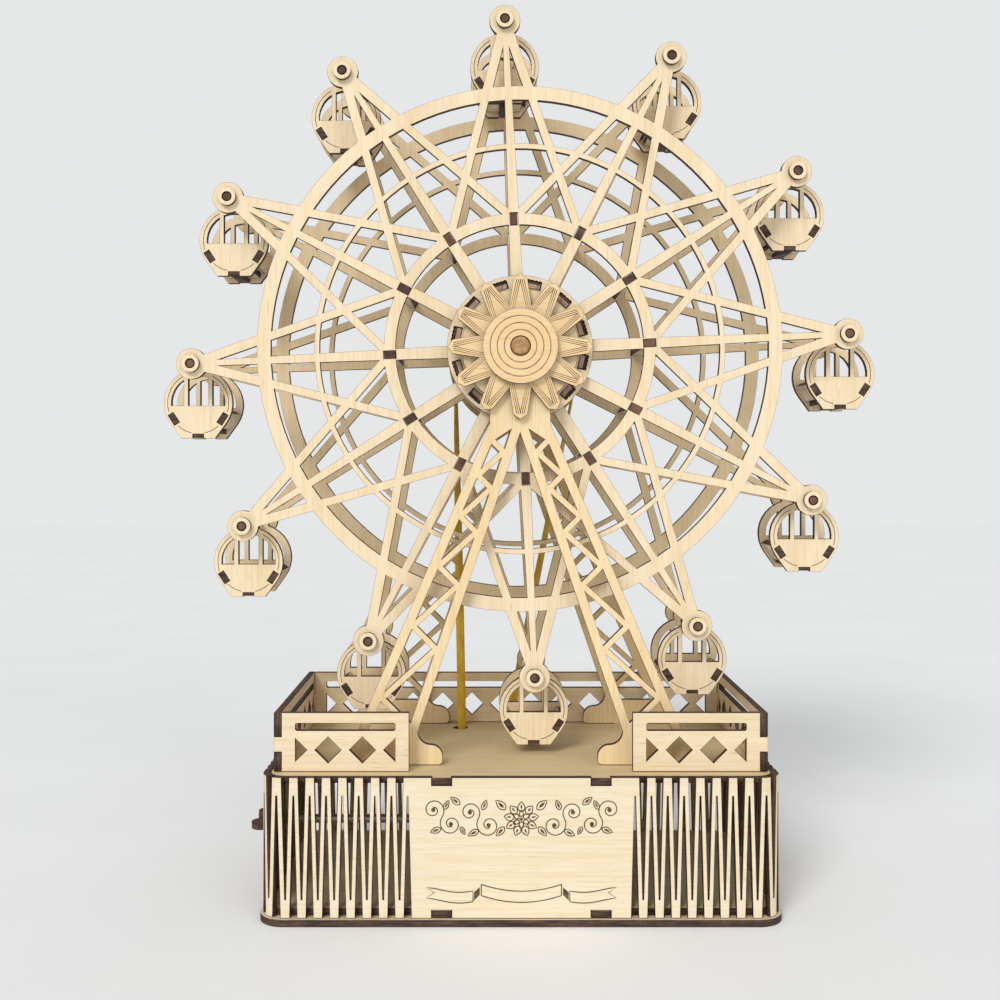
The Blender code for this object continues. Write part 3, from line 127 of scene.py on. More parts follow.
def bearing(point: Vector, center: Vector = ORIGIN) -> float:
    """The bearing of a point from a centre, in degrees."""
    offset = point - center
    return math.degrees(math.atan2(offset.y, offset.x))


def arc(radius: float, start: float, end: float, center: Vector = ORIGIN) -> Loop:
    """Points along an arc, with both its ends.

    Args:
        radius: Radius in metres.
        start: Bearing of the first point in degrees.
        end: Bearing of the last point in degrees.
        center: Centre of the arc.

    Returns:
        The points, at most FINE_DEG apart.
    """
    step = FINE_DEG if radius > 0.02 else 3 * FINE_DEG
    count = max(1, math.ceil(abs(end - start) / step))
    return [polar(radius, start + (end - start) * i / count, center) for i in range(count + 1)]


def circle(radius: float, center: Vector = ORIGIN) -> Loop:
    """A whole circle without its repeated last point."""
    return arc(radius, 0.0, 360.0, center)[:-1]


def rectangle(width: float, height: float, center: Vector = ORIGIN, degrees: float = 0.0) -> Loop:
    """A rectangle about a centre, turned by some degrees."""
    corners = [(-width, -height), (width, -height), (width, height), (-width, height)]
    turn = Matrix.Rotation(math.radians(degrees), 2)
    return [center + turn @ (Vector(corner) / 2) for corner in corners]


def soft_slot(width: float, height: float, radius: float, center: Vector) -> Loop:
    """A slot with rounded corners."""
    corners = [(1, -1, -90.0), (1, 1, 0.0), (-1, 1, 90.0), (-1, -1, 180.0)]
    points = []
    for x, y, start in corners:
        spot = center + Vector((x * (width / 2 - radius), y * (height / 2 - radius)))
        points += arc(radius, start, start + 90.0, spot)
    return points


def rotated(points: Loop, degrees: float) -> Loop:
    """Points turned about the origin."""
    turn = Matrix.Rotation(math.radians(degrees), 2)
    return [turn @ point for point in points]


def mirrored(points: Loop) -> Loop:
    """The other side of X = 0, in the order that carries an outline on."""
    return [Vector((-point.x, point.y)) for point in reversed(points)]


def edge(start: Vector, end: Vector, shift: float = 0.0) -> tuple[Vector, Vector]:
    """A straight edge as a point and a direction, shifted to its left."""
    direction = (end - start).normalized()
    left = Vector((-direction.y, direction.x))
    return start + left * shift, direction


def meet(first: tuple[Vector, Vector], second: tuple[Vector, Vector]) -> Vector:
    """Where two straight edges cross."""
    (start, along), (other, across) = first, second
    apart = other - start
    turn = along.x * across.y - along.y * across.x
    return start + along * ((apart.x * across.y - apart.y * across.x) / turn)


def meet_circle(line: tuple[Vector, Vector], radius: float, far: bool, center: Vector = ORIGIN) -> Vector:
    """Where a straight edge crosses a circle, at its far or its near crossing."""
    start, along = line
    apart = start - center
    middle = -apart.dot(along)
    half = math.sqrt(middle * middle - apart.dot(apart) + radius * radius)
    return start + along * (middle + half if far else middle - half)


def narrowed(corners: Loop, shifts: tuple[float, ...]) -> Loop:
    """A polygon whose edges are each moved inwards by their own shift."""
    ends = corners[1:] + corners[:1]
    area = sum(a.x * b.y - a.y * b.x for a, b in zip(corners, ends))
    side = 1 if area > 0 else -1
    edges = [edge(a, b, shift * side) for a, b, shift in zip(corners, ends, shifts)]
    return [meet(before, after) for before, after in zip(edges[-1:] + edges[:-1], edges)]


def spiral(center: Vector, start_radius: float, end_radius: float, start: float, end: float) -> Loop:
    """A spiral whose radius grows or shrinks evenly along its turn.

    Args:
        center: Centre of the spiral.
        start_radius: Radius at its first point.
        end_radius: Radius at its last point.
        start: Bearing of the first point in degrees.
        end: Bearing of the last point in degrees.

    Returns:
        The points, one every 12 degrees.
    """
    count = max(4, math.ceil(abs(end - start) / 12.0))
    points = []
    for i in range(count + 1):
        share = i / count
        radius = start_radius + (end_radius - start_radius) * share
        points.append(polar(radius, start + (end - start) * share, center))
    return points


# Finishes


def new_material(name: str) -> tuple[Material, Tree, Node]:
    """A material with nodes, its tree and its shader."""
    material = bpy.data.materials.new(name)
    material.use_nodes = True
    tree = material.node_tree
    return material, tree, tree.nodes["Principled BSDF"]


def stretched(tree: Tree, scale: Triple) -> Socket:
    """Object coordinates scaled along each axis."""
    coordinates = tree.nodes.new("ShaderNodeTexCoord")
    mapping = tree.nodes.new("ShaderNodeMapping")
    mapping.inputs["Scale"].default_value = scale
    tree.links.new(coordinates.outputs["Object"], mapping.inputs["Vector"])
    return mapping.outputs["Vector"]


def noise(tree: Tree, vector: Socket, detail: float) -> Socket:
    """Noise of scale one on a vector."""
    node = tree.nodes.new("ShaderNodeTexNoise")
    node.inputs["Scale"].default_value = 1.0
    node.inputs["Detail"].default_value = detail
    tree.links.new(vector, node.inputs["Vector"])
    return node.outputs["Fac"]


def ramp(tree: Tree, factor: Socket, stops: list[tuple]) -> Socket:
    """A colour ramp of (position, colour) stops on a factor."""
    node = tree.nodes.new("ShaderNodeValToRGB")
    elements = node.color_ramp.elements
    while len(elements) < len(stops):
        elements.new(1.0)
    for element, (position, color) in zip(elements, stops):
        element.position = position
        element.color = (*color, 1.0)
    tree.links.new(factor, node.inputs["Fac"])
    return node.outputs["Color"]


def multiplied(tree: Tree, first: Socket, second: Socket) -> Socket:
    """Two colours multiplied."""
    node = tree.nodes.new("ShaderNodeMix")
    node.data_type = "RGBA"
    node.blend_type = "MULTIPLY"
    node.inputs["Factor"].default_value = 1.0
    tree.links.new(first, node.inputs[6])
    tree.links.new(second, node.inputs[7])
    return node.outputs[2]


def bumped(tree: Tree, shader: Node, height: Socket, depth: float) -> None:
    """Give the shader a bump of a depth in metres."""
    node = tree.nodes.new("ShaderNodeBump")
    node.inputs["Strength"].default_value = 0.5
    node.inputs["Distance"].default_value = depth
    tree.links.new(height, node.inputs["Height"])
    tree.links.new(node.outputs["Normal"], shader.inputs["Normal"])


@dataclass(frozen=True)
class PlyFace:
    """The pale face of a basswood plywood sheet, with fine grain, pores and soft mottling."""

    name: str
    color: Triple
    grain: Grain
    roughness: float = 0.62

    def build(self) -> Material:
        """Make the material."""
        material, tree, shader = new_material(self.name)
        fine = noise(tree, stretched(tree, self.grain.value), 5.0)
        warm = (self.color[0] * 0.95, self.color[1] * 0.90, self.color[2] * 0.80)
        color = ramp(tree, fine, [(0.36, warm), (0.58, self.color)])
        wide = noise(tree, stretched(tree, tuple(axis / 14.0 for axis in self.grain.value)), 2.0)
        mottle = ramp(tree, wide, [(0.32, (0.94, 0.93, 0.90)), (0.62, (1.0, 1.0, 1.0))])
        pores = noise(tree, stretched(tree, tuple(axis * 3.5 for axis in self.grain.value)), 1.0)
        specks = ramp(tree, pores, [(0.26, (0.80, 0.74, 0.66)), (0.34, (1.0, 1.0, 1.0))])
        color = multiplied(tree, multiplied(tree, color, mottle), specks)
        tree.links.new(color, shader.inputs["Base Color"])
        shader.inputs["Roughness"].default_value = self.roughness
        bumped(tree, shader, fine, 0.0001)
        return material


@dataclass(frozen=True)
class BurntEdge:
    """The brown edge that a laser leaves, with its plies as faint layers and smoky patches."""

    name: str
    layers: Layers
    light: Triple = (0.120, 0.062, 0.034)
    dark: Triple = (0.030, 0.015, 0.009)

    def build(self) -> Material:
        """Make the material."""
        material, tree, shader = new_material(self.name)
        plies = noise(tree, stretched(tree, self.layers.value), 3.0)
        color = ramp(tree, plies, [(0.38, self.dark), (0.62, self.light)])
        smoke = noise(tree, stretched(tree, (320.0, 320.0, 320.0)), 3.0)
        patches = ramp(tree, smoke, [(0.35, (0.62, 0.58, 0.55)), (0.65, (1.0, 1.0, 1.0))])
        tree.links.new(multiplied(tree, color, patches), shader.inputs["Base Color"])
        shader.inputs["Roughness"].default_value = 0.75
        bumped(tree, shader, plies, 0.00015)
        return material


@dataclass(frozen=True)
class Turned:
    """Birch dowel or a turned wooden disc, with streaks along its axis."""

    name: str
    light: Triple
    dark: Triple

    def build(self) -> Material:
        """Make the material."""
        material, tree, shader = new_material(self.name)
        streaks = noise(tree, stretched(tree, (700.0, 60.0, 700.0)), 4.0)
        color = ramp(tree, streaks, [(0.35, self.dark), (0.62, self.light)])
        tree.links.new(color, shader.inputs["Base Color"])
        shader.inputs["Roughness"].default_value = 0.55
        bumped(tree, shader, streaks, 0.0001)
        return material


@dataclass(frozen=True)
class Rubber:
    """Yellow rubber, a little dusty, with a fine moulded skin."""

    name: str = "yellow_rubber_band"

    def build(self) -> Material:
        """Make the material."""
        material, tree, shader = new_material(self.name)
        dust = noise(tree, stretched(tree, (420.0, 420.0, 160.0)), 4.0)
        color = ramp(tree, dust, [(0.34, (0.56, 0.35, 0.016)), (0.62, (0.72, 0.47, 0.026))])
        tree.links.new(color, shader.inputs["Base Color"])
        shader.inputs["Roughness"].default_value = 0.48
        bumped(tree, shader, dust, 0.00006)
        return material


@dataclass(frozen=True)
class Metal:
    """Brushed brass or steel with faint tarnish."""

    name: str
    bright: Triple
    dull: Triple

    def build(self) -> Material:
        """Make the material."""
        material, tree, shader = new_material(self.name)
        brushed = noise(tree, stretched(tree, (140.0, 2400.0, 2400.0)), 3.0)
        color = ramp(tree, brushed, [(0.35, self.dull), (0.65, self.bright)])
        tree.links.new(color, shader.inputs["Base Color"])
        shader.inputs["Metallic"].default_value = 1.0
        rough = tree.nodes.new("ShaderNodeMapRange")
        rough.inputs["To Min"].default_value = 0.24
        rough.inputs["To Max"].default_value = 0.42
        tree.links.new(brushed, rough.inputs["Value"])
        tree.links.new(rough.outputs["Result"], shader.inputs["Roughness"])
        bumped(tree, shader, brushed, 0.00003)
        return material


class Finishes:
    """Every finish of the music box, built once."""

    def __init__(self) -> None:
        """Build the materials."""
        self.cream = PlyFace("cream_face", (0.80, 0.66, 0.46), Grain.ALONG_X).build()
        self.cream_side = PlyFace("cream_face_side", (0.80, 0.66, 0.46), Grain.ALONG_Y).build()
        self.wheel = PlyFace("wheel_face", (0.83, 0.68, 0.47), Grain.ALONG_Z).build()
        # The back wheel plate is the same plywood as the front one, painted darker as shade for lying behind
        # it.
        self.painted_shade_back_wheel = PlyFace("painted_shade_back_wheel_face", (0.74, 0.59, 0.38), Grain.ALONG_Z).build()
        self.panel = PlyFace("panel_face", (0.80, 0.69, 0.51), Grain.ALONG_X).build()
        self.tower = PlyFace("tower_face", (0.82, 0.64, 0.38), Grain.ALONG_Z).build()
        self.deck = PlyFace("deck_face", (0.72, 0.57, 0.33), Grain.ALONG_X).build()
        self.disc = PlyFace("disc_face", (0.80, 0.58, 0.32), Grain.ALONG_X).build()
        self.edge_x = BurntEdge("burnt_edge_x", Layers.ACROSS_X).build()
        self.edge_y = BurntEdge("burnt_edge_y", Layers.ACROSS_Y).build()
        self.edge_z = BurntEdge("burnt_edge_z", Layers.ACROSS_Z).build()
        self.engraved = BurntEdge(
            "engraved_line", Layers.ACROSS_Z, (0.20, 0.11, 0.055), (0.08, 0.04, 0.02)
        ).build()
        self.scored = BurntEdge(
            "scored_line", Layers.ACROSS_Z, (0.46, 0.28, 0.13), (0.28, 0.16, 0.07)
        ).build()
        self.tab_end = BurntEdge(
            "tab_end", Layers.ACROSS_Y, (0.185, 0.090, 0.055), (0.060, 0.026, 0.015)
        ).build()
        self.tab_face = BurntEdge(
            "tab_face", Layers.ACROSS_X, (0.60, 0.42, 0.30), (0.36, 0.22, 0.14)
        ).build()
        self.dowel = Turned("birch_dowel_end", (0.47, 0.28, 0.11), (0.30, 0.16, 0.06)).build()
        self.pulley = Turned("turned_pulley", (0.66, 0.48, 0.26), (0.50, 0.34, 0.17)).build()
        self.rubber = Rubber().build()
        self.brass = Metal("brushed_brass", (0.80, 0.60, 0.27), (0.60, 0.42, 0.16)).build()
        self.steel = Metal("brushed_steel", (0.66, 0.66, 0.65), (0.46, 0.46, 0.47)).build()


# Modelling


def choose(obj: Object) -> None:
    """Select one object alone and make it active."""
    bpy.ops.object.select_all(action="DESELECT")
    obj.select_set(True)
    bpy.context.view_layer.objects.active = obj


def clean(obj: Object, threshold: float = 0.000004) -> None:
    """Merge doubled points and turn the faces outwards."""
    choose(obj)
    bpy.ops.object.mode_set(mode="EDIT")
    bpy.ops.mesh.select_all(action="SELECT")
    bpy.ops.mesh.remove_doubles(threshold=threshold)
    bpy.ops.mesh.normals_make_consistent(inside=False)
    bpy.ops.object.mode_set(mode="OBJECT")


def curve_object(name: str, loops: list[Loop], closed: bool) -> Object:
    """An object of poly splines through loops of points in the plane."""
    curve = bpy.data.curves.new(name, "CURVE")
    for loop in loops:
        spline = curve.splines.new("POLY")
        spline.points.add(len(loop) - 1)
        for point, spot in zip(spline.points, loop):
            point.co = (spot.x, spot.y, 0.0, 1.0)
        spline.use_cyclic_u = closed
    obj = bpy.data.objects.new(name, curve)
    bpy.context.scene.collection.objects.link(obj)
    return obj


def as_mesh(obj: Object) -> None:
    """Turn a curve object into a clean mesh."""
    choose(obj)
    bpy.ops.object.convert(target="MESH")
    clean(obj)


def apply_modifiers(obj: Object) -> None:
    """Apply every modifier of an object in turn."""
    choose(obj)
    for modifier in list(obj.modifiers):
        bpy.ops.object.modifier_apply(modifier=modifier.name)


def join(pieces: list[Object], name: str) -> Object:
    """Join several objects into one, named afresh."""
    bpy.ops.object.select_all(action="DESELECT")
    for piece in pieces:
        piece.select_set(True)
    bpy.context.view_layer.objects.active = pieces[0]
    if len(pieces) > 1:
        bpy.ops.object.join()
    pieces[0].name = name
    pieces[0].data.name = name
    return pieces[0]


def place(obj: Object, turn: Matrix, spot: Vector) -> None:
    """Put an object's place into its mesh, and leave the object at the origin."""
    obj.matrix_world = Matrix.Translation(spot) @ turn
    choose(obj)
    bpy.ops.object.transform_apply(location=True, rotation=True, scale=True)


def cut_away(obj: Object, cutter: Object, height: float) -> None:
    """Cut a shape out of a sheet's front, and give the cut the sheet's third material.

    Args:
        obj: The sheet, still flat in X and Y.
        cutter: The shape, which is used up.
        height: Height at which the shape's middle lies.
    """
    as_mesh(cutter)
    for material in obj.data.materials:
        cutter.data.materials.append(material)
    for polygon in cutter.data.polygons:
        polygon.material_index = 2
    place(cutter, Matrix.Identity(4), Vector((0.0, 0.0, height)))
    cut = obj.modifiers.new("cut", "BOOLEAN")
    cut.operation = "DIFFERENCE"
    cut.solver = "EXACT"
    cut.use_self = True
    cut.object = cutter
    apply_modifiers(obj)
    bpy.data.objects.remove(cutter, do_unlink=True)


def groove(obj: Object, lines: list[Loop], closed: bool, width: float, height: float) -> None:
    """Engrave lines of a width into a sheet's front at a height."""
    cutter = curve_object("groove", lines, closed)
    cutter.data.dimensions = "3D"
    cutter.data.bevel_depth = width / 2
    cutter.data.bevel_resolution = 0
    cutter.data.use_fill_caps = True
    cut_away(obj, cutter, height + width * 0.1)


def pocket(obj: Object, shapes: list[Loop], height: float) -> None:
    """Engrave filled shapes into a sheet's front at a height."""
    cutter = curve_object("pocket", shapes, True)
    cutter.data.dimensions = "2D"
    cutter.data.fill_mode = "BOTH"
    cutter.data.extrude = POCKET_DEPTH
    cut_away(obj, cutter, height)


@dataclass
class Sheet:
    """A laser cut sheet: its outline and holes, its face, its burnt edge and its engraving."""

    name: str
    loops: list[Loop]
    face: Material
    edge: Material
    thickness: float = PLY
    mark: Material | None = None
    grooves: list[Loop] = field(default_factory=list)
    groove_width: float = 0.0005
    closed_grooves: bool = True
    pockets: list[Loop] = field(default_factory=list)

    def cut(self) -> Object:
        """Make the flat sheet about Z = 0, with its front towards +Z.

        Returns:
            The mesh object, with its faces and edges dressed.
        """
        obj = curve_object(self.name, self.loops, True)
        shape = obj.data
        shape.dimensions = "2D"
        shape.fill_mode = "BOTH"
        shape.extrude = self.thickness / 2 - SOFT_EDGE
        shape.bevel_depth = SOFT_EDGE
        shape.bevel_resolution = 0
        shape.offset = -SOFT_EDGE
        as_mesh(obj)
        mesh = obj.data
        mesh.materials.clear()
        for material in (self.face, self.edge, self.mark or self.edge):
            mesh.materials.append(material)
        for polygon in mesh.polygons:
            polygon.material_index = 0 if abs(polygon.normal.z) > 0.9 else 1
        if self.grooves:
            groove(obj, self.grooves, self.closed_grooves, self.groove_width, self.thickness / 2)
        if self.pockets:
            pocket(obj, self.pockets, self.thickness / 2)
        return obj

    def stand(self, turn: Matrix, spot: Vector) -> Object:
        """Make the sheet and put it in its place."""
        obj = self.cut()
        place(obj, turn, spot)
        return obj


@dataclass
class Board:
    """A bar of plywood that is seen from its side: pale broad faces, burnt narrow ones."""

    name: str
    width: float
    height: float
    length: float
    center: Vector
    degrees: float
    face: Material
    edge: Material

    def cut(self) -> Object:
        """Make the bar along Z, its section turned by some degrees about its centre."""
        loop = rectangle(self.width, self.height, self.center, self.degrees)
        obj = Sheet(self.name, [loop], self.edge, self.face, self.length).cut()
        across = polar(1.0, self.degrees + (0.0 if self.width < self.height else 90.0))
        for polygon in obj.data.polygons:
            broad = abs(polygon.normal.xy.dot(across)) > 0.9
            polygon.material_index = 1 if broad else 0
        return obj

    def stand(self, turn: Matrix, spot: Vector) -> Object:
        """Make the bar and put it in its place."""
        obj = self.cut()
        place(obj, turn, spot)
        return obj


def turned(name: str, profile: list[tuple[float, float]], material: Material, steps: int = 64) -> Object:
    """A turned piece about Z.

    Args:
        name: Its name.
        profile: Pairs of radius and height, closed by itself where it has a bore.
        material: Its finish.
        steps: Number of faces round it.

    Returns:
        The mesh object, shaded smooth with sharp corners.
    """
    closed = profile[0][0] > 0
    obj = curve_object(name, [[Vector((radius, height)) for radius, height in profile]], closed)
    obj.data.dimensions = "3D"
    choose(obj)
    bpy.ops.object.convert(target="MESH")
    place(obj, Matrix.Rotation(math.pi / 2, 4, "X"), CENTER)
    screw = obj.modifiers.new("turned", "SCREW")
    screw.axis = "Z"
    screw.steps = steps
    screw.render_steps = steps
    screw.use_merge_vertices = True
    screw.merge_threshold = 0.000005
    apply_modifiers(obj)
    clean(obj)
    obj.data.materials.append(material)
    choose(obj)
    bpy.ops.object.shade_smooth_by_angle(angle=math.radians(30.0))
    return obj


def block(name: str, size: Triple, spot: Vector, material: Material) -> Object:
    """A small block with softened edges, its place in its mesh.

    Args:
        name: Its name.
        size: Its width, depth and height.
        spot: Its middle.
        material: Its finish.

    Returns:
        The mesh object.
    """
    bpy.ops.object.select_all(action="DESELECT")
    bpy.ops.mesh.primitive_cube_add(size=1.0, location=(0.0, 0.0, 0.0))
    obj = bpy.context.active_object
    obj.name = name
    obj.scale = size
    bpy.ops.object.transform_apply(location=False, rotation=False, scale=True)
    soften = obj.modifiers.new("edges", "BEVEL")
    soften.width = min(0.00015, min(size) / 5)
    soften.segments = 2
    apply_modifiers(obj)
    obj.data.materials.append(material)
    place(obj, Matrix.Identity(4), spot)
    return obj


def middle(node: str) -> Vector:
    """The middle of a CAD node's box."""
    low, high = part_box(node)
    return (Vector(low) + Vector(high)) / 2


def dress(obj: Object, body: str, slot: str, *nodes: str) -> None:
    """Let a finished piece ride on a body and stand for CAD nodes.

    Args:
        obj: The finished piece, its place in its mesh.
        body: The body that it moves with.
        slot: The record's slot of its finish; not used.
        nodes: The CAD nodes that it replaces.
    """
    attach(obj, body)
    if nodes:
        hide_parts(*nodes)
    LOG.info("%s: %d faces on %s", obj.name, len(obj.data.polygons), body)


def refinish(node: str, material: Material) -> None:
    """Give a CAD node that keeps its shape a better finish."""
    for slot in frame["nodes"][node].material_slots:
        slot.material = material
    LOG.info("%s keeps its CAD shape", node)


# The music box


@dataclass
class Ornament:
    """A rosette between scrolls, over a plain ribbon, engraved on the front panel."""

    rosette: Vector = field(default_factory=lambda: Vector((0.0, 0.0440)))
    ribbon_half: float = 0.0165
    ribbon_height: float = 0.0046
    ribbon_low: float = 0.0098
    ribbon_sag: float = 0.0028
    tail_gap: float = 0.0034
    tail_length: float = 0.0191
    tail_wave: float = 0.0011
    fork_depth: float = 0.0032
    dot: float = 0.0009
    inner_petals: int = 6
    outer_petals: int = 9

    def petal(self, root: Vector, length: float, width: float, degrees: float) -> Loop:
        """A pointed petal or leaf that grows from a root."""
        along, side = polar(1.0, degrees), polar(1.0, degrees + 90.0)
        steps = 7
        half = []
        for i in range(steps + 1):
            share = i / steps
            bulge = width / 2 * math.sin(math.pi * share**0.8)
            half.append(root + along * (length * share) + side * bulge)
        back = [point - side * 2 * (point - root).dot(side) for point in reversed(half[1:-1])]
        return half + back

    def scrolls(self) -> list[tuple[Vector, float, float, float]]:
        """Centre, outer radius, outer bearing and turn of each curl on the right side."""
        chain = []
        for first, second, share in (
            (Vector((0.0135, 0.0415)), Vector((0.0212, 0.0468)), 0.54),
            (Vector((0.0290, 0.0420)), Vector((0.0362, 0.0478)), 0.50),
        ):
            apart = second - first
            degrees = bearing(apart)
            chain.append((first, apart.length * share, degrees, 520.0))
            chain.append((second, apart.length * (1.0 - share), degrees + 180.0, 500.0))
        return chain

    def leaves(self) -> list[tuple[Vector, float, float, float]]:
        """Root, length, width and bearing of each leaf on the right side."""
        return [
            (Vector((0.0064, 0.0480)), 0.0056, 0.0030, 42.0),
            (Vector((0.0070, 0.0408)), 0.0050, 0.0026, -48.0),
            (Vector((0.0176, 0.0395)), 0.0050, 0.0024, -28.0),
            (Vector((0.0160, 0.0478)), 0.0044, 0.0022, 112.0),
            (Vector((0.0252, 0.0500)), 0.0050, 0.0024, 38.0),
            (Vector((0.0330, 0.0402)), 0.0048, 0.0024, -20.0),
            (Vector((0.0318, 0.0480)), 0.0042, 0.0020, 118.0),
            (Vector((0.0250, 0.0408)), 0.0036, 0.0018, -120.0),
        ]

    def ribbon(self) -> list[Loop]:
        """Open lines of the ribbon's middle band and of its right tail."""
        half, low, high = self.ribbon_half, self.ribbon_low, self.ribbon_low + self.ribbon_height
        band = []
        for height in (low, high):
            line = [
                Vector((half * i / 8, height + self.ribbon_sag * (i / 8) ** 2)) for i in range(9)
            ]
            band.append(line)
        corner_low, corner_high = band[0][-1], band[1][-1]
        band.append([corner_low, corner_high])
        tail_low, tail_high = low + 0.0008, high + 0.0006
        start, end = half + self.tail_gap, half + self.tail_gap + self.tail_length
        lower, upper = [], []
        for i in range(9):
            share = i / 8
            x = start + (end - start) * share
            wave = self.tail_wave * math.sin(math.pi * (1.2 * share + 0.15))
            lower.append(Vector((x, tail_low - wave)))
            upper.append(Vector((x, tail_high - wave)))
        fork = (lower[-1] + upper[-1]) / 2 - Vector((self.fork_depth, 0.0))
        band.append([lower[0]] + lower[1:] + [fork] + list(reversed(upper)) + [lower[0]])
        return band

    def fold(self) -> Loop:
        """The shaded fold between the ribbon's band and its right tail."""
        x, low = self.ribbon_half, self.ribbon_low + self.ribbon_sag
        return [
            Vector((x + 0.0006, low + 0.0003)), Vector((x + 0.0030, low - 0.0021)),
            Vector((x + 0.0030, low - 0.0021 + self.ribbon_height * 0.75)),
            Vector((x + 0.0006, low - 0.0002 + self.ribbon_height * 0.8)),
        ]

    def lines(self) -> list[Loop]:
        """Every engraved line, open, in the panel's own X and height."""
        lines = []
        rows = (
            (self.inner_petals, 0.0010, 0.0028, 0.0018),
            (self.outer_petals, 0.0030, 0.0042, 0.0030),
        )
        for count, start, length, width in rows:
            for number in range(count):
                degrees = 90.0 + number * 360.0 / count
                petal = self.petal(polar(start, degrees, self.rosette), length, width, degrees)
                lines.append(petal + petal[:1])
        half = self.ribbon()
        for center, radius, degrees, sweep in self.scrolls():
            half.append(spiral(center, radius, self.dot, degrees, degrees - sweep))
        for root, length, width, degrees in self.leaves():
            leaf = self.petal(root, length, width, degrees)
            half.append(leaf + leaf[:1])
        for line in half:
            lines += [line, mirrored(line)]
        return lines

    def shapes(self) -> list[Loop]:
        """Every engraved filled shape."""
        shapes = [circle(0.0007, self.rosette)]
        half = [self.fold()]
        for center, _, _, _ in self.scrolls():
            half.append(circle(self.dot, center))
        for root, length, width, degrees in self.leaves():
            inner_root = polar(length * 0.2, degrees, root)
            half.append(self.petal(inner_root, length * 0.6, width * 0.42, degrees))
        for number in range(self.outer_petals):
            degrees = 90.0 + number * 360.0 / self.outer_petals
            root = polar(0.0042, degrees, self.rosette)
            shapes.append(self.petal(root, 0.0020, 0.0008, degrees))
        for shape in half:
            shapes += [shape, mirrored(shape)]
        return shapes


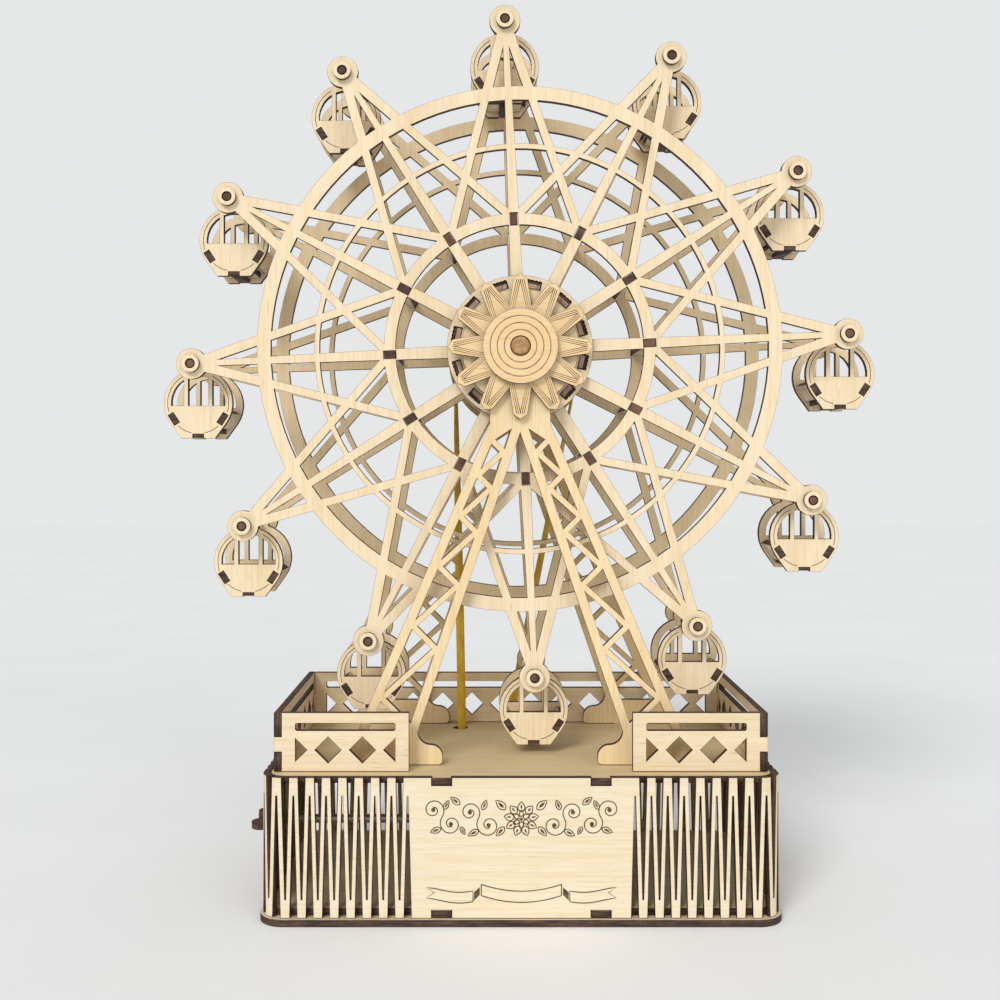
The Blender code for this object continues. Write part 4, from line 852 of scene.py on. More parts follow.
@dataclass
class BaseBox:
    """The box that the wheel stands on: base plate, floor, deck and four slatted walls."""

    finishes: Finishes
    width: float = 0.218
    depth: float = 0.116
    height: float = 0.061
    corner: float = 0.011
    setback: float = 0.0012
    front_panel: float = 0.094
    side_panel: float = 0.020
    slit_pitch: float = 0.00672
    first_slit: float = 0.0031
    slit_mouth: float = 0.0032
    slit_end: float = 0.0006
    slit_web: float = 0.0075
    notch_width: float = 0.0085
    notch_spacing: float = 0.0656
    bend_steps: int = 14
    line_width: float = 0.0006
    shaft_hole: float = 0.0023
    band_hole: Triple = (0.0070, 0.0060, 0.0028)
    band_holes_x: tuple[float, float] = (-0.0274, -0.0014)

    @property
    def half_width(self) -> float:
        """Outside of the side walls."""
        return self.width / 2 - self.setback

    @property
    def half_depth(self) -> float:
        """Outside of the front and back walls."""
        return self.depth / 2 - self.setback

    def sheet_loop(self, half_width: float, half_depth: float, corner: float, reach: float = 0.0) -> Loop:
        """A rounded sheet, with two tabs on its front and back edges where reach is given."""
        points = []
        if reach:
            for x in (-self.notch_spacing / 2, self.notch_spacing / 2):
                left, right = x - self.notch_width / 2 + FIT, x + self.notch_width / 2 - FIT
                points += [Vector((left, -half_depth)), Vector((left, -reach))]
                points += [Vector((right, -reach)), Vector((right, -half_depth))]
        center = Vector((half_width - corner, half_depth - corner))
        points += arc(corner, -90.0, 0.0, Vector((center.x, -center.y)))
        points += arc(corner, 0.0, 90.0, center)
        return points + [-point for point in points]

    def slits(self, panel_half: float, half_length: float) -> tuple[list[float], list[float]]:
        """Places of the slits that open at the top, and of those that open at the bottom."""
        room = half_length - self.slit_mouth
        x = panel_half + self.first_slit
        upper, lower = [], [x - self.slit_pitch / 2]
        while x < room:
            upper.append(x)
            if x + self.slit_pitch / 2 < room:
                lower.append(x + self.slit_pitch / 2)
            x += self.slit_pitch
        return upper, lower

    def cut_edge(self, places: list[float], notches: list[float], start: float, rise: int) -> Loop:
        """Points along an edge of a wall, left to right, with its slits and notches."""
        depth = rise * (self.height - PLY - FIT - self.slit_web)
        cuts = [(x, self.slit_mouth, self.slit_end, depth) for x in places]
        cuts += [(x, self.notch_width, self.notch_width, rise * (PLY + FIT)) for x in notches]
        points = []
        for x, mouth, end, reach in sorted(cuts):
            points.append(Vector((x - mouth / 2, start)))
            points.append(Vector((x - end / 2, start + reach)))
            points.append(Vector((x + end / 2, start + reach)))
            points.append(Vector((x + mouth / 2, start)))
        return points

    def wall_loop(self, panel_half: float, half_length: float, notches: list[float]) -> Loop:
        """The unrolled outline of a slatted wall."""
        low = PLY + FIT
        upper, lower = self.slits(panel_half, half_length)
        upper += [-x for x in upper]
        lower += [-x for x in lower]
        loop = [Vector((-half_length, low))] + self.cut_edge(lower, notches, low, 1)
        loop += [Vector((half_length, low)), Vector((half_length, self.height))]
        loop += reversed(self.cut_edge(upper, notches, self.height, -1))
        return loop + [Vector((-half_length, self.height))]

    def bend(self, wall: Object) -> None:
        """Roll both ends of a flat wall round the box's corners."""
        straight = self.half_width - (self.corner - self.setback)
        radius = self.corner - self.setback - PLY / 2
        choose(wall)
        for side in (-1, 1):
            for step in range(1, self.bend_steps):
                x = side * (straight + radius * math.pi / 2 * step / self.bend_steps)
                bpy.ops.object.mode_set(mode="EDIT")
                bpy.ops.mesh.select_all(action="SELECT")
                bpy.ops.mesh.bisect(plane_co=(x, 0.0, 0.0), plane_no=(1.0, 0.0, 0.0))
                bpy.ops.object.mode_set(mode="OBJECT")
        for vertex in wall.data.vertices:
            x, height, outward = vertex.co
            past = abs(x) - straight
            if past > 0:
                angle = past / radius
                side = math.copysign(1.0, x)
                x = side * (straight + (radius + outward) * math.sin(angle))
                outward = (radius + outward) * math.cos(angle) - radius
            vertex.co = (x, height, outward)

    def build(self) -> None:
        """Make the plates and walls."""
        looks = self.finishes
        outline = self.sheet_loop(self.width / 2, self.depth / 2, self.corner)
        plate = Sheet("base_plate_sheet", [outline], looks.cream, looks.edge_z)
        dress(plate.stand(Facing.UP.turn, middle("base_plate")), "stand", "cream_plywood", "base_plate")

        inset = PLY + FIT
        inner_corner = self.corner - self.setback - PLY
        inside = self.sheet_loop(
            self.half_width - inset, self.half_depth - inset, inner_corner, self.half_depth
        )
        floor = Sheet("floor_sheet", [inside], looks.cream, looks.edge_z)
        dress(floor.stand(Facing.UP.turn, middle("floor_plate")), "stand", "cream_plywood", "floor_plate")
        deck = Sheet("deck_sheet", [inside] + self.deck_holes(), looks.deck, looks.edge_z)
        dress(deck.stand(Facing.UP.turn, middle("deck")), "stand", "tan_plywood", "deck")
        self.build_walls()

    def deck_holes(self) -> list[Loop]:
        """The slots for the towers' tabs and the round holes for the band."""
        holes = []
        towers = Towers(self.finishes)
        for node in ("tower_front", "tower_back"):
            for side in (-1, 1):
                center = Vector((side * towers.foot_middle, middle(node).y))
                holes.append(rectangle(towers.tab + 2 * FIT, PLY + 2 * FIT, center))
        for x in self.band_holes_x:
            center = Vector((x, middle("drive_band").y))
            holes.append(soft_slot(*self.band_hole, center))
        return holes

    def build_walls(self) -> None:
        """Make the four walls."""
        looks = self.finishes
        ornament = Ornament()
        notches = [-self.notch_spacing / 2, self.notch_spacing / 2]
        bend_length = (self.corner - self.setback - PLY / 2) * math.pi / 2
        long_half = self.half_width - (self.corner - self.setback) + bend_length
        loop = self.wall_loop(self.front_panel / 2, long_half, notches)
        for node, facing, side in (("front_wall", Facing.FRONT, -1), ("back_wall", Facing.BACK, 1)):
            lines = ornament.lines() if side < 0 else []
            shapes = ornament.shapes() if side < 0 else []
            sheet = Sheet(node + "_slatted", [loop], looks.panel, looks.edge_y, mark=looks.engraved,
                          grooves=lines, groove_width=self.line_width, closed_grooves=False,
                          pockets=shapes)
            wall = sheet.cut()
            self.bend(wall)
            place(wall, facing.turn, Vector((0.0, side * (self.half_depth - PLY / 2), 0.0)))
            dress(wall, "stand", "cream_plywood", node)
        straight_half = self.half_depth - (self.corner - self.setback) - FIT
        side_loop = self.wall_loop(self.side_panel / 2, straight_half, [])
        shaft = middle("key_shaft")
        hole = circle(self.shaft_hole, Vector((shaft.y, shaft.z)))
        for node, loops, side in (("left_wall", [side_loop, hole], -1), ("right_wall", [side_loop], 1)):
            sheet = Sheet(node + "_slatted", loops, looks.cream_side, looks.edge_x)
            spot = Vector((side * (self.half_width - PLY / 2), 0.0, 0.0))
            dress(sheet.stand(Facing.SIDE.turn, spot), "stand", "cream_plywood", node)


@dataclass
class Towers:
    """The two A-shaped lattice towers with ogee feet."""

    finishes: Finishes
    base_height: float = 0.061
    head: float = 0.0250
    neck: float = 0.0260
    neck_drop: float = 0.0330
    crotch_drop: float = 0.0365
    outer_slope: float = 0.431
    inner_slope: float = 0.343
    rail: float = 0.0040
    brace: float = 0.0025
    brace_slope: float = 0.91
    lattice_drop: float = 0.0350
    first_node: float = 0.0287
    lattice_floor: float = 0.0120
    ogee_upper: float = 0.0057
    ogee_lower: float = 0.0050
    ogee_step: float = 0.0035
    toe: float = 0.0020
    tab: float = 0.0120

    @property
    def axle(self) -> float:
        """Height of the axle."""
        return middle("main_axle").z

    def outer(self, height: float) -> float:
        """X of the outer edge of the right leg."""
        return self.neck / 2 + self.outer_slope * (self.axle - self.neck_drop - height)

    def inner(self, height: float) -> float:
        """X of the inner edge of the right leg."""
        return self.inner_slope * (self.axle - self.crotch_drop - height)

    @property
    def foot_inside(self) -> float:
        """X of the inner end of the right foot."""
        top = self.base_height + FIT + self.ogee_step + self.ogee_lower + self.ogee_upper
        return self.inner(top) - self.ogee_upper - self.ogee_lower

    @property
    def foot_middle(self) -> float:
        """X of the right foot's tab."""
        return (self.foot_inside + self.outer(self.base_height + FIT)) / 2

    def outline(self) -> Loop:
        """The tower's outline, from its crotch round the right leg and the head."""
        rest = self.base_height + FIT
        top = rest + self.ogee_step + self.ogee_lower + self.ogee_upper
        inside = self.foot_inside
        left, right = self.foot_middle - self.tab / 2, self.foot_middle + self.tab / 2
        tab_end = self.base_height - PLY
        upper = Vector((inside + self.ogee_lower, top))
        lower = upper - Vector((0.0, self.ogee_upper + self.ogee_lower))
        half = arc(self.ogee_upper, 0.0, -90.0, upper) + arc(self.ogee_lower, 90.0, 180.0, lower)[1:]
        half += arc(self.toe, 180.0, 270.0, Vector((inside + self.toe, rest + self.toe)))
        half += [Vector((left, rest)), Vector((left, tab_end))]
        half += [Vector((right, tab_end)), Vector((right, rest)), Vector((self.outer(rest), rest))]
        half.append(Vector((self.neck / 2, self.axle - self.neck_drop)))
        neck_deg = -math.degrees(math.acos(self.neck / 2 / self.head))
        half += arc(self.head, neck_deg, 90.0, Vector((0.0, self.axle)))
        return [Vector((0.0, self.axle - self.crotch_drop))] + half + mirrored(half)[1:]

    def bays(self) -> list[Loop]:
        """The bays of the right leg, between braces that climb from rail to rail."""
        outer_width = self.rail * math.hypot(1.0, self.outer_slope)
        inner_width = self.rail * math.hypot(1.0, self.inner_slope)
        floor, top = self.base_height + self.lattice_floor, self.axle - self.lattice_drop

        def on_outer(height: float) -> Vector:
            """A point on the outer rail's inside."""
            return Vector((self.outer(height) - outer_width, height))

        def on_inner(height: float) -> Vector:
            """A point on the inner rail's inside."""
            return Vector((self.inner(height) + inner_width, height))

        outer, inner = edge(on_outer(floor), on_outer(top)), edge(on_inner(floor), on_inner(top))
        inward = Vector((-1.0, self.brace_slope)).normalized()
        outward = Vector((1.0, 1.0)).normalized()
        half = self.brace / 2
        first = on_outer(self.base_height + self.first_node)
        below = meet((first, outward), inner)
        bays = [narrowed([on_outer(floor), first, below, on_inner(floor)], (0.0, half, 0.0, 0.0))]
        nodes = [below, first]
        while nodes[-1].y < top:
            to_inner = len(nodes) % 2 == 0
            line = (nodes[-1], inward if to_inner else outward)
            nodes.append(meet(line, inner if to_inner else outer))
            if nodes[-1].y < top:
                bays.append(narrowed(nodes[-3:], (half, half, 0.0)))
        end = on_outer(top) if len(nodes) % 2 == 0 else on_inner(top)
        bays.append(narrowed([nodes[-3], nodes[-2], end], (half, 0.0, 0.0)))
        return bays

    def build(self) -> None:
        """Make both towers."""
        holes = self.bays()
        holes += [mirrored(hole) for hole in holes]
        holes.append(circle(AXLE_BORE, Vector((0.0, self.axle))))
        looks = self.finishes
        for node in ("tower_front", "tower_back"):
            sheet = Sheet(node + "_lattice", [self.outline()] + holes, looks.tower, looks.edge_y)
            spot = Vector((0.0, middle(node).y, 0.0))
            dress(sheet.stand(Facing.FRONT.turn, spot), "stand", "tan_plywood", node)


@dataclass
class Fences:
    """The five fence pieces on the deck, with a slot over a row of diamonds."""

    finishes: Finishes
    height: float = 0.0245
    front_width: float = 0.0533
    slot_drop: float = 0.0043
    slot_height: float = 0.0032
    slot_corner: float = 0.0009
    margin: float = 0.0057
    diamond_width: float = 0.0112
    diamond_height: float = 0.0112
    diamond_gap: float = 0.0031
    diamond_rise: float = 0.0090
    triangle_width: float = 0.0050
    triangle_height: float = 0.0098
    finger_height: float = 0.0062
    finger_rise: float = 0.0082

    def holes(self, width: float) -> list[Loop]:
        """The slot, the diamonds and the half diamonds of a piece."""
        span = width - 2 * self.margin
        slot_y = self.height - self.slot_drop - self.slot_height / 2
        holes = [soft_slot(span, self.slot_height, self.slot_corner, Vector((0.0, slot_y)))]
        room = span - 2 * self.triangle_width - self.diamond_gap
        count = round(room / (self.diamond_width + self.diamond_gap))
        half_width, half_height, rise = self.diamond_width / 2, self.diamond_height / 2, self.diamond_rise
        for number in range(count):
            x = (number - (count - 1) / 2) * room / count
            holes.append([Vector((x - half_width, rise)), Vector((x, rise - half_height)),
                          Vector((x + half_width, rise)), Vector((x, rise + half_height))])
        end = span / 2
        triangle = [Vector((end, rise - self.triangle_height / 2)),
                    Vector((end, rise + self.triangle_height / 2)),
                    Vector((end - self.triangle_width, rise))]
        return holes + [triangle, mirrored(triangle)]

    def loops(
        self, width: float, right_finger: float, left_finger: float, clearance: float = 0.0
    ) -> list[Loop]:
        """A fence piece: a finger stands out of an end, or is a notch where it is negative."""
        right, left = width / 2, -width / 2
        low = self.finger_rise - clearance
        high = self.finger_rise + self.finger_height + clearance
        outline = [(left, 0.0), (right, 0.0)]
        if right_finger:
            reach = right + right_finger
            outline += [(right, low), (reach, low), (reach, high), (right, high)]
        outline += [(right, self.height), (left, self.height)]
        if left_finger:
            reach = left - left_finger
            outline += [(left, high), (reach, high), (reach, low), (left, low)]
        return [[Vector(point) for point in outline]] + self.holes(width)

    def build(self) -> None:
        """Make the five pieces."""
        looks, finger = self.finishes, PLY + FIT
        low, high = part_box("fence_back")
        back_width = high[0] - low[0] - 2 * finger
        low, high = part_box("fence_left")
        side_width = high[1] - low[1]
        rest = low[2]
        front_right = self.loops(self.front_width, finger, 0.0)
        front_left = self.loops(self.front_width, 0.0, finger)
        back = self.loops(back_width, finger, finger)
        side = self.loops(side_width, -finger, -finger, FIT)
        for node, loops, shift in (
            ("fence_front_left", front_left, finger / 2),
            ("fence_front_right", front_right, -finger / 2),
            ("fence_back", back, 0.0),
        ):
            sheet = Sheet(node + "_diamonds", loops, looks.cream, looks.edge_y)
            center = middle(node)
            spot = Vector((center.x + shift, center.y, rest))
            dress(sheet.stand(Facing.FRONT.turn, spot), "stand", "cream_plywood", node)
        for node in ("fence_left", "fence_right"):
            sheet = Sheet(node + "_diamonds", side, looks.cream_side, looks.edge_x)
            center = middle(node)
            spot = Vector((center.x, center.y, rest))
            dress(sheet.stand(Facing.SIDE.turn, spot), "stand", "cream_plywood", node)


@dataclass
class Hub:
    """The engraved star, the cap discs with their rings and the axle's end."""

    finishes: Finishes
    star_radius: float = 0.0310
    star_valley: float = 0.0180
    ray_width: float = 0.0060
    shoulder_share: float = 0.35
    cap_radius: float = 0.0160
    strap_insets: tuple[float, ...] = (0.0006, 0.0014, 0.0022)
    strap_turn_deg: float = 4.5
    strap_end: float = 0.0286
    strap_width: float = 0.00042
    cap_rings: tuple[float, ...] = (0.0129, 0.0099, 0.0069)
    cap_ring_width: float = 0.0006

    def star_outline(self) -> Loop:
        """The star plate's outline."""
        half = self.ray_width / 2
        shoulder = self.star_radius - self.shoulder_share * self.ray_width
        ray = [polar(self.star_valley, -SECTOR_DEG / 2), Vector((shoulder, -half)),
               Vector((self.star_radius, 0.0)), Vector((shoulder, half))]
        return [point for sector in range(SECTORS) for point in rotated(ray, sector * SECTOR_DEG)]

    def star_lines(self) -> list[Loop]:
        """Three parallel lines along each ray's sides, which meet in the valleys and cross at the tips."""
        lines = []
        half_sector = SECTOR_DEG / 2
        valley = polar(self.star_valley, half_sector)
        shoulder = Vector((self.star_radius - self.shoulder_share * self.ray_width, self.ray_width / 2))
        slant = math.radians(-self.strap_turn_deg)
        for inset in self.strap_insets:
            start, along = edge(valley, shoulder, -inset)
            along = Matrix.Rotation(slant, 2) @ along
            bisector = (ORIGIN, polar(1.0, half_sector))
            root = meet((start, along), bisector)
            tip = meet((start, along), (Vector((self.strap_end, 0.0)), Vector((0.0, 1.0))))
            other = polar(tip.length, SECTOR_DEG - bearing(tip))
            for sector in range(SECTORS):
                lines.append(rotated([tip, root, other], sector * SECTOR_DEG))
        return lines

    def build(self) -> None:
        """Make the star, both caps and the axle."""
        looks = self.finishes
        node = "star_plate_front"
        loops = [self.star_outline(), circle(AXLE_BORE)]
        star = Sheet("star_plate_engraved", loops, looks.disc, looks.edge_y, mark=looks.engraved,
                     grooves=self.star_lines(), groove_width=self.strap_width, closed_grooves=False)
        dress(star.stand(Facing.FRONT.turn, middle(node)), "stand", "tan_plywood", node)
        loops = [circle(self.cap_radius), circle(AXLE_BORE)]
        rings = [circle(radius) for radius in self.cap_rings]
        for node, facing in (("cap_disc_front", Facing.FRONT), ("cap_disc_back", Facing.BACK)):
            cap = Sheet(node + "_ringed", loops, looks.disc, looks.edge_y, mark=looks.scored,
                        grooves=rings, groove_width=self.cap_ring_width)
            dress(cap.stand(facing.turn, middle(node)), "stand", "tan_plywood", node)
        low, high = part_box("main_axle")
        half = (high[1] - low[1]) / 2
        profile = [(0.0, half), (0.0033, half), (0.0038, half - 0.0005), (0.0040, half - 0.0012),
                   (0.0040, 0.0012 - half), (0.0038, 0.0005 - half), (0.0033, -half), (0.0, -half)]
        axle = turned("main_axle_dowel", profile, looks.dowel, 48)
        place(axle, Facing.FRONT.turn, middle("main_axle"))
        dress(axle, "wheel", "birch_dowel", "main_axle")


@dataclass
class Wheel:
    """The two lattice plates, the ring spacers, the hub discs, the drum and the drive pulley."""

    finishes: Finishes
    hub: float = 0.0315
    node_circle: float = 0.0565
    node_band: float = 0.0050
    mid_ring: float = 0.0892
    mid_band: float = 0.0022
    rim: float = 0.1142
    rim_band: float = 0.0060
    tip_circle: float = 0.1428
    tip_radius: float = 0.0067
    spoke_root: float = 0.0054
    spoke_tip: float = 0.0023
    arm: float = 0.0036
    arm_outer: float = 0.0042
    spacer_width: float = 0.0030
    spacer_depth: float = 0.0050
    slat_circle: float = 0.0275
    slat_slot: float = 0.0065
    slat_gap_deg: float = 0.35
    scallop: float = 0.0003
    scallop_room: float = 0.0006
    tab_clearance: float = 0.0008
    # How far the painted shade sheets in the slots sit below the tab ends.
    painted_gap_shade_drop: float = 0.0016
    pin_hole: float = 0.0019

    @property
    def turn(self) -> Matrix:
        """The plates' turn, with the wheel's rest angle."""
        return Matrix.Rotation(math.radians(-PHASE_DEG), 4, "Y") @ Facing.FRONT.turn

    def sector_holes(self) -> list[Loop]:
        """The ten holes of one sector of a plate, from the spoke along X to the next."""
        tip, next_tip = polar(self.tip_circle, 0.0), polar(self.tip_circle, SECTOR_DEG)
        node, next_node = polar(self.node_circle, 0.0), polar(self.node_circle, SECTOR_DEG)
        spoke = edge(Vector((self.hub, self.spoke_root / 2)), Vector((self.tip_circle, self.spoke_tip / 2)))
        arm_in, arm_out = edge(tip, next_node, self.arm / 2), edge(tip, next_node, -self.arm / 2)
        arm_near_tip = edge(tip, next_node, self.arm_outer / 2)
        cross_in, cross_out = edge(next_tip, node, -self.arm / 2), edge(next_tip, node, self.arm / 2)
        node_in, node_out = self.node_circle - self.node_band / 2, self.node_circle + self.node_band / 2
        mid_in, rim_in = self.mid_ring - self.mid_band, self.rim - self.rim_band

        def across(line: tuple[Vector, Vector], radius: float, far: bool) -> float:
            """Bearing at which a line crosses a circle."""
            return bearing(meet_circle(line, radius, far))

        def band(
            inner: float, inner_start: float, inner_end: float, outer: float, start: float, end: float
        ) -> Loop:
            """A hole between two circles."""
            return arc(inner, inner_end, inner_start) + arc(outer, start, end)

        def both(points: Loop) -> list[Loop]:
            """A hole and its mirror image in the sector's middle line."""
            return [points, [polar(point.length, SECTOR_DEG - bearing(point)) for point in points]]

        at_hub, at_node = across(spoke, self.hub, True), across(spoke, node_in, True)
        window = band(self.hub, at_hub, SECTOR_DEG - at_hub, node_in, at_node, SECTOR_DEG - at_node)
        low = across(arm_in, node_out, False)
        bottom = arc(node_out, SECTOR_DEG - low, low) + [meet(arm_in, cross_in)]
        left = [meet(spoke, cross_out)]
        left += arc(mid_in, across(spoke, mid_in, True), across(arm_in, mid_in, False))
        left.append(meet(arm_in, cross_out))
        side = band(self.mid_ring, across(spoke, self.mid_ring, True), across(arm_in, self.mid_ring, False),
                    rim_in, across(spoke, rim_in, True), across(arm_in, rim_in, False))
        sliver = arc(self.rim, across(arm_near_tip, self.rim, False), across(spoke, self.rim, True))
        sliver.append(meet(spoke, arm_near_tip))
        start = across(arm_out, mid_in, False)
        top_low = arc(mid_in, start, SECTOR_DEG - start) + [meet(arm_out, cross_out)]
        inner, outer = across(arm_out, self.mid_ring, False), across(arm_out, rim_in, False)
        top = band(self.mid_ring, inner, SECTOR_DEG - inner, rim_in, outer, SECTOR_DEG - outer)
        return [window, bottom, top_low, top] + both(left) + both(side) + both(sliver)

    def tip_outline(self) -> Loop:
        """The outline round the tip along X and along the rim to the next tip."""
        tip = polar(self.tip_circle, 0.0)
        flank = edge(tip, polar(self.node_circle, SECTOR_DEG), -self.arm_outer / 2)
        at_tip = bearing(meet_circle(flank, self.tip_radius, True, tip), tip)
        at_rim = bearing(meet_circle(flank, self.rim, False))
        return arc(self.tip_radius, -at_tip, at_tip, tip) + arc(self.rim, at_rim, SECTOR_DEG - at_rim)

    def slat_slots(self, shrink: float = 0.0) -> list[Loop]:
        """The twelve slots of the drum's tabs, with a scalloped outer side, made smaller by a length."""
        slots = []
        half = self.slat_slot / 2 - shrink
        inner = self.slat_circle - PLY / 2 + shrink
        outer = self.slat_circle + PLY / 2 + self.scallop_room - shrink
        for sector in range(SECTORS):
            loop = [Vector((inner, half)), Vector((inner, -half))]
            for i in range(17):
                bump = self.scallop * abs(math.sin(math.pi * i / 4))
                loop.append(Vector((outer + bump, -half + 2 * half * i / 16)))
            slots.append(rotated(loop, (sector + 0.5) * SECTOR_DEG))
        return slots

    def plate_loops(self) -> list[Loop]:
        """A plate's outline and its holes."""
        outline, holes = [], []
        for sector in range(SECTORS):
            degrees = sector * SECTOR_DEG
            outline += rotated(self.tip_outline(), degrees)
            holes += [rotated(hole, degrees) for hole in self.sector_holes()]
            holes.append(circle(self.pin_hole, polar(self.tip_circle, degrees)))
            size = (self.spacer_depth + 2 * FIT, self.spacer_width + 2 * FIT)
            holes.append(rectangle(*size, polar(self.node_circle, degrees), degrees))
        return [outline] + holes + self.slat_slots() + [circle(AXLE_BORE)]

    def build(self) -> None:
        """Make every piece that turns with the wheel, apart from the axle."""
        looks = self.finishes
        loops = self.plate_loops()
        # The back plate takes the darker copy of the wheel face, which is painted shade.
        for node, face in (("wheel_plate_front", looks.wheel), ("wheel_plate_back", looks.painted_shade_back_wheel)):
            sheet = Sheet(node + "_lattice", loops, face, looks.edge_y)
            dress(sheet.stand(self.turn, self.axle_at(node)), "wheel", "cream_plywood", node)
        disc = [circle(self.hub)] + self.slat_slots() + [circle(AXLE_BORE)]
        for node in ("hub_disc_front", "hub_disc_back"):
            sheet = Sheet(node + "_slotted", disc, looks.cream, looks.edge_y)
            dress(sheet.stand(self.turn, self.axle_at(node)), "wheel", "cream_plywood", node)
        self.build_spacers()
        self.build_drum()
        self.build_pulley()

    def axle_at(self, node: str) -> Vector:
        """The axle's place in the middle plane of a node."""
        return Vector((0.0, middle(node).y, middle("main_axle").z))

    def build_spacers(self) -> None:
        """Make the twelve bars between the plates, with dark sawn ends."""
        looks = self.finishes
        for sector in range(SECTORS):
            node = f"ring_spacer_{sector + 1:02d}"
            low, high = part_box(node)
            length = high[1] - low[1]
            degrees = sector * SECTOR_DEG
            center = polar(self.node_circle, degrees)
            bar = Board(node + "_bar", self.spacer_depth, self.spacer_width, length, center, degrees,
                        looks.cream_side, looks.tab_end)
            dress(bar.stand(self.turn, self.axle_at(node)), "wheel", "cream_plywood", node)

    def build_drum(self) -> None:
        """Make the drum of twelve slats, whose tabs end in the hub discs' slots, with a dark sheet sunk in
        each slot as painted shade in the gap round the tab.
        """
        looks = self.finishes
        low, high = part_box("hub_drum")
        length = high[1] - low[1]
        low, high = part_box("hub_disc_front")
        reach = 2 * (middle("hub_drum").y - low[1]) - 0.0003
        slats = []
        half_deg = SECTOR_DEG / 2 - self.slat_gap_deg
        for sector in range(SECTORS):
            degrees = (sector + 0.5) * SECTOR_DEG
            inner = (self.slat_circle - PLY / 2) / math.cos(math.radians(half_deg))
            outer = (self.slat_circle + PLY / 2) / math.cos(math.radians(half_deg))
            loop = [polar(inner, degrees - half_deg), polar(outer, degrees - half_deg),
                    polar(outer, degrees + half_deg), polar(inner, degrees + half_deg)]
            slats.append(Sheet("slat", [loop], looks.edge_z, looks.cream_side, thickness=length).cut())
            center = polar(self.slat_circle - FIT, degrees)
            size = (PLY - self.tab_clearance, self.slat_slot - self.tab_clearance)
            tab = Sheet("slat_tab", [rectangle(*size, center, degrees)], looks.tab_face, looks.edge_z,
                        thickness=reach)
            slats.append(tab.cut())
        # Dark sheets in the burnt edge colour fill each slot below the tab ends: painted shade in the gaps
        # round the tabs.
        for loop in self.slat_slots(0.0001):
            painted_gap_shade = Sheet("slat_painted_gap_shade", [loop], looks.edge_z, looks.edge_z,
                         thickness=reach - self.painted_gap_shade_drop)
            slats.append(painted_gap_shade.cut())
        drum = join(slats, "hub_drum_slats")
        place(drum, self.turn, self.axle_at("hub_drum"))
        dress(drum, "wheel", "cream_plywood", "hub_drum")

    def build_pulley(self) -> None:
        """Make the grooved pulley for the band."""
        pulley = GroovedPulley("drive_pulley", flange=0.0330, groove=0.0290, boss=0.0080, bore=0.0044)
        dress(pulley.build(self.finishes.pulley), "wheel", "tan_plywood", "drive_pulley")


@dataclass
class GroovedPulley:
    """A turned pulley with a flat-bottomed groove for the band, and a boss on each side."""

    node: str
    flange: float
    groove: float
    boss: float
    bore: float
    inside: float = 0.0022
    outside: float = 0.0036
    soft: float = 0.0003

    def build(self, material: Material) -> Object:
        """Turn the pulley and put it on its axis.

        Args:
            material: Its finish.

        Returns:
            The mesh object, its place in its mesh.
        """
        low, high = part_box(self.node)
        center = middle(self.node)
        groove_y = middle("drive_band").y
        front, back = low[1] - groove_y, high[1] - groove_y
        flange, inside, outside, soft = self.flange, self.inside, self.outside, self.soft
        profile = [(self.bore, back)]
        if back > outside + soft:
            profile += [(self.boss - soft, back), (self.boss, back - soft), (self.boss, outside)]
        profile += [
            (flange - soft, outside), (flange, outside - soft), (flange, inside + soft),
            (flange - soft, inside), (self.groove, inside), (self.groove, -inside), (flange - soft, -inside),
            (flange, -inside - soft), (flange, soft - outside), (flange - soft, -outside),
        ]
        if front < -outside - soft:
            profile += [(self.boss, -outside), (self.boss, front + soft), (self.boss - soft, front)]
        profile.append((self.bore, front))
        pulley = turned(self.node + "_turned", profile, material, 96)
        place(pulley, Matrix.Rotation(-math.pi / 2, 4, "X"), Vector((center.x, groove_y, center.z)))
        return pulley


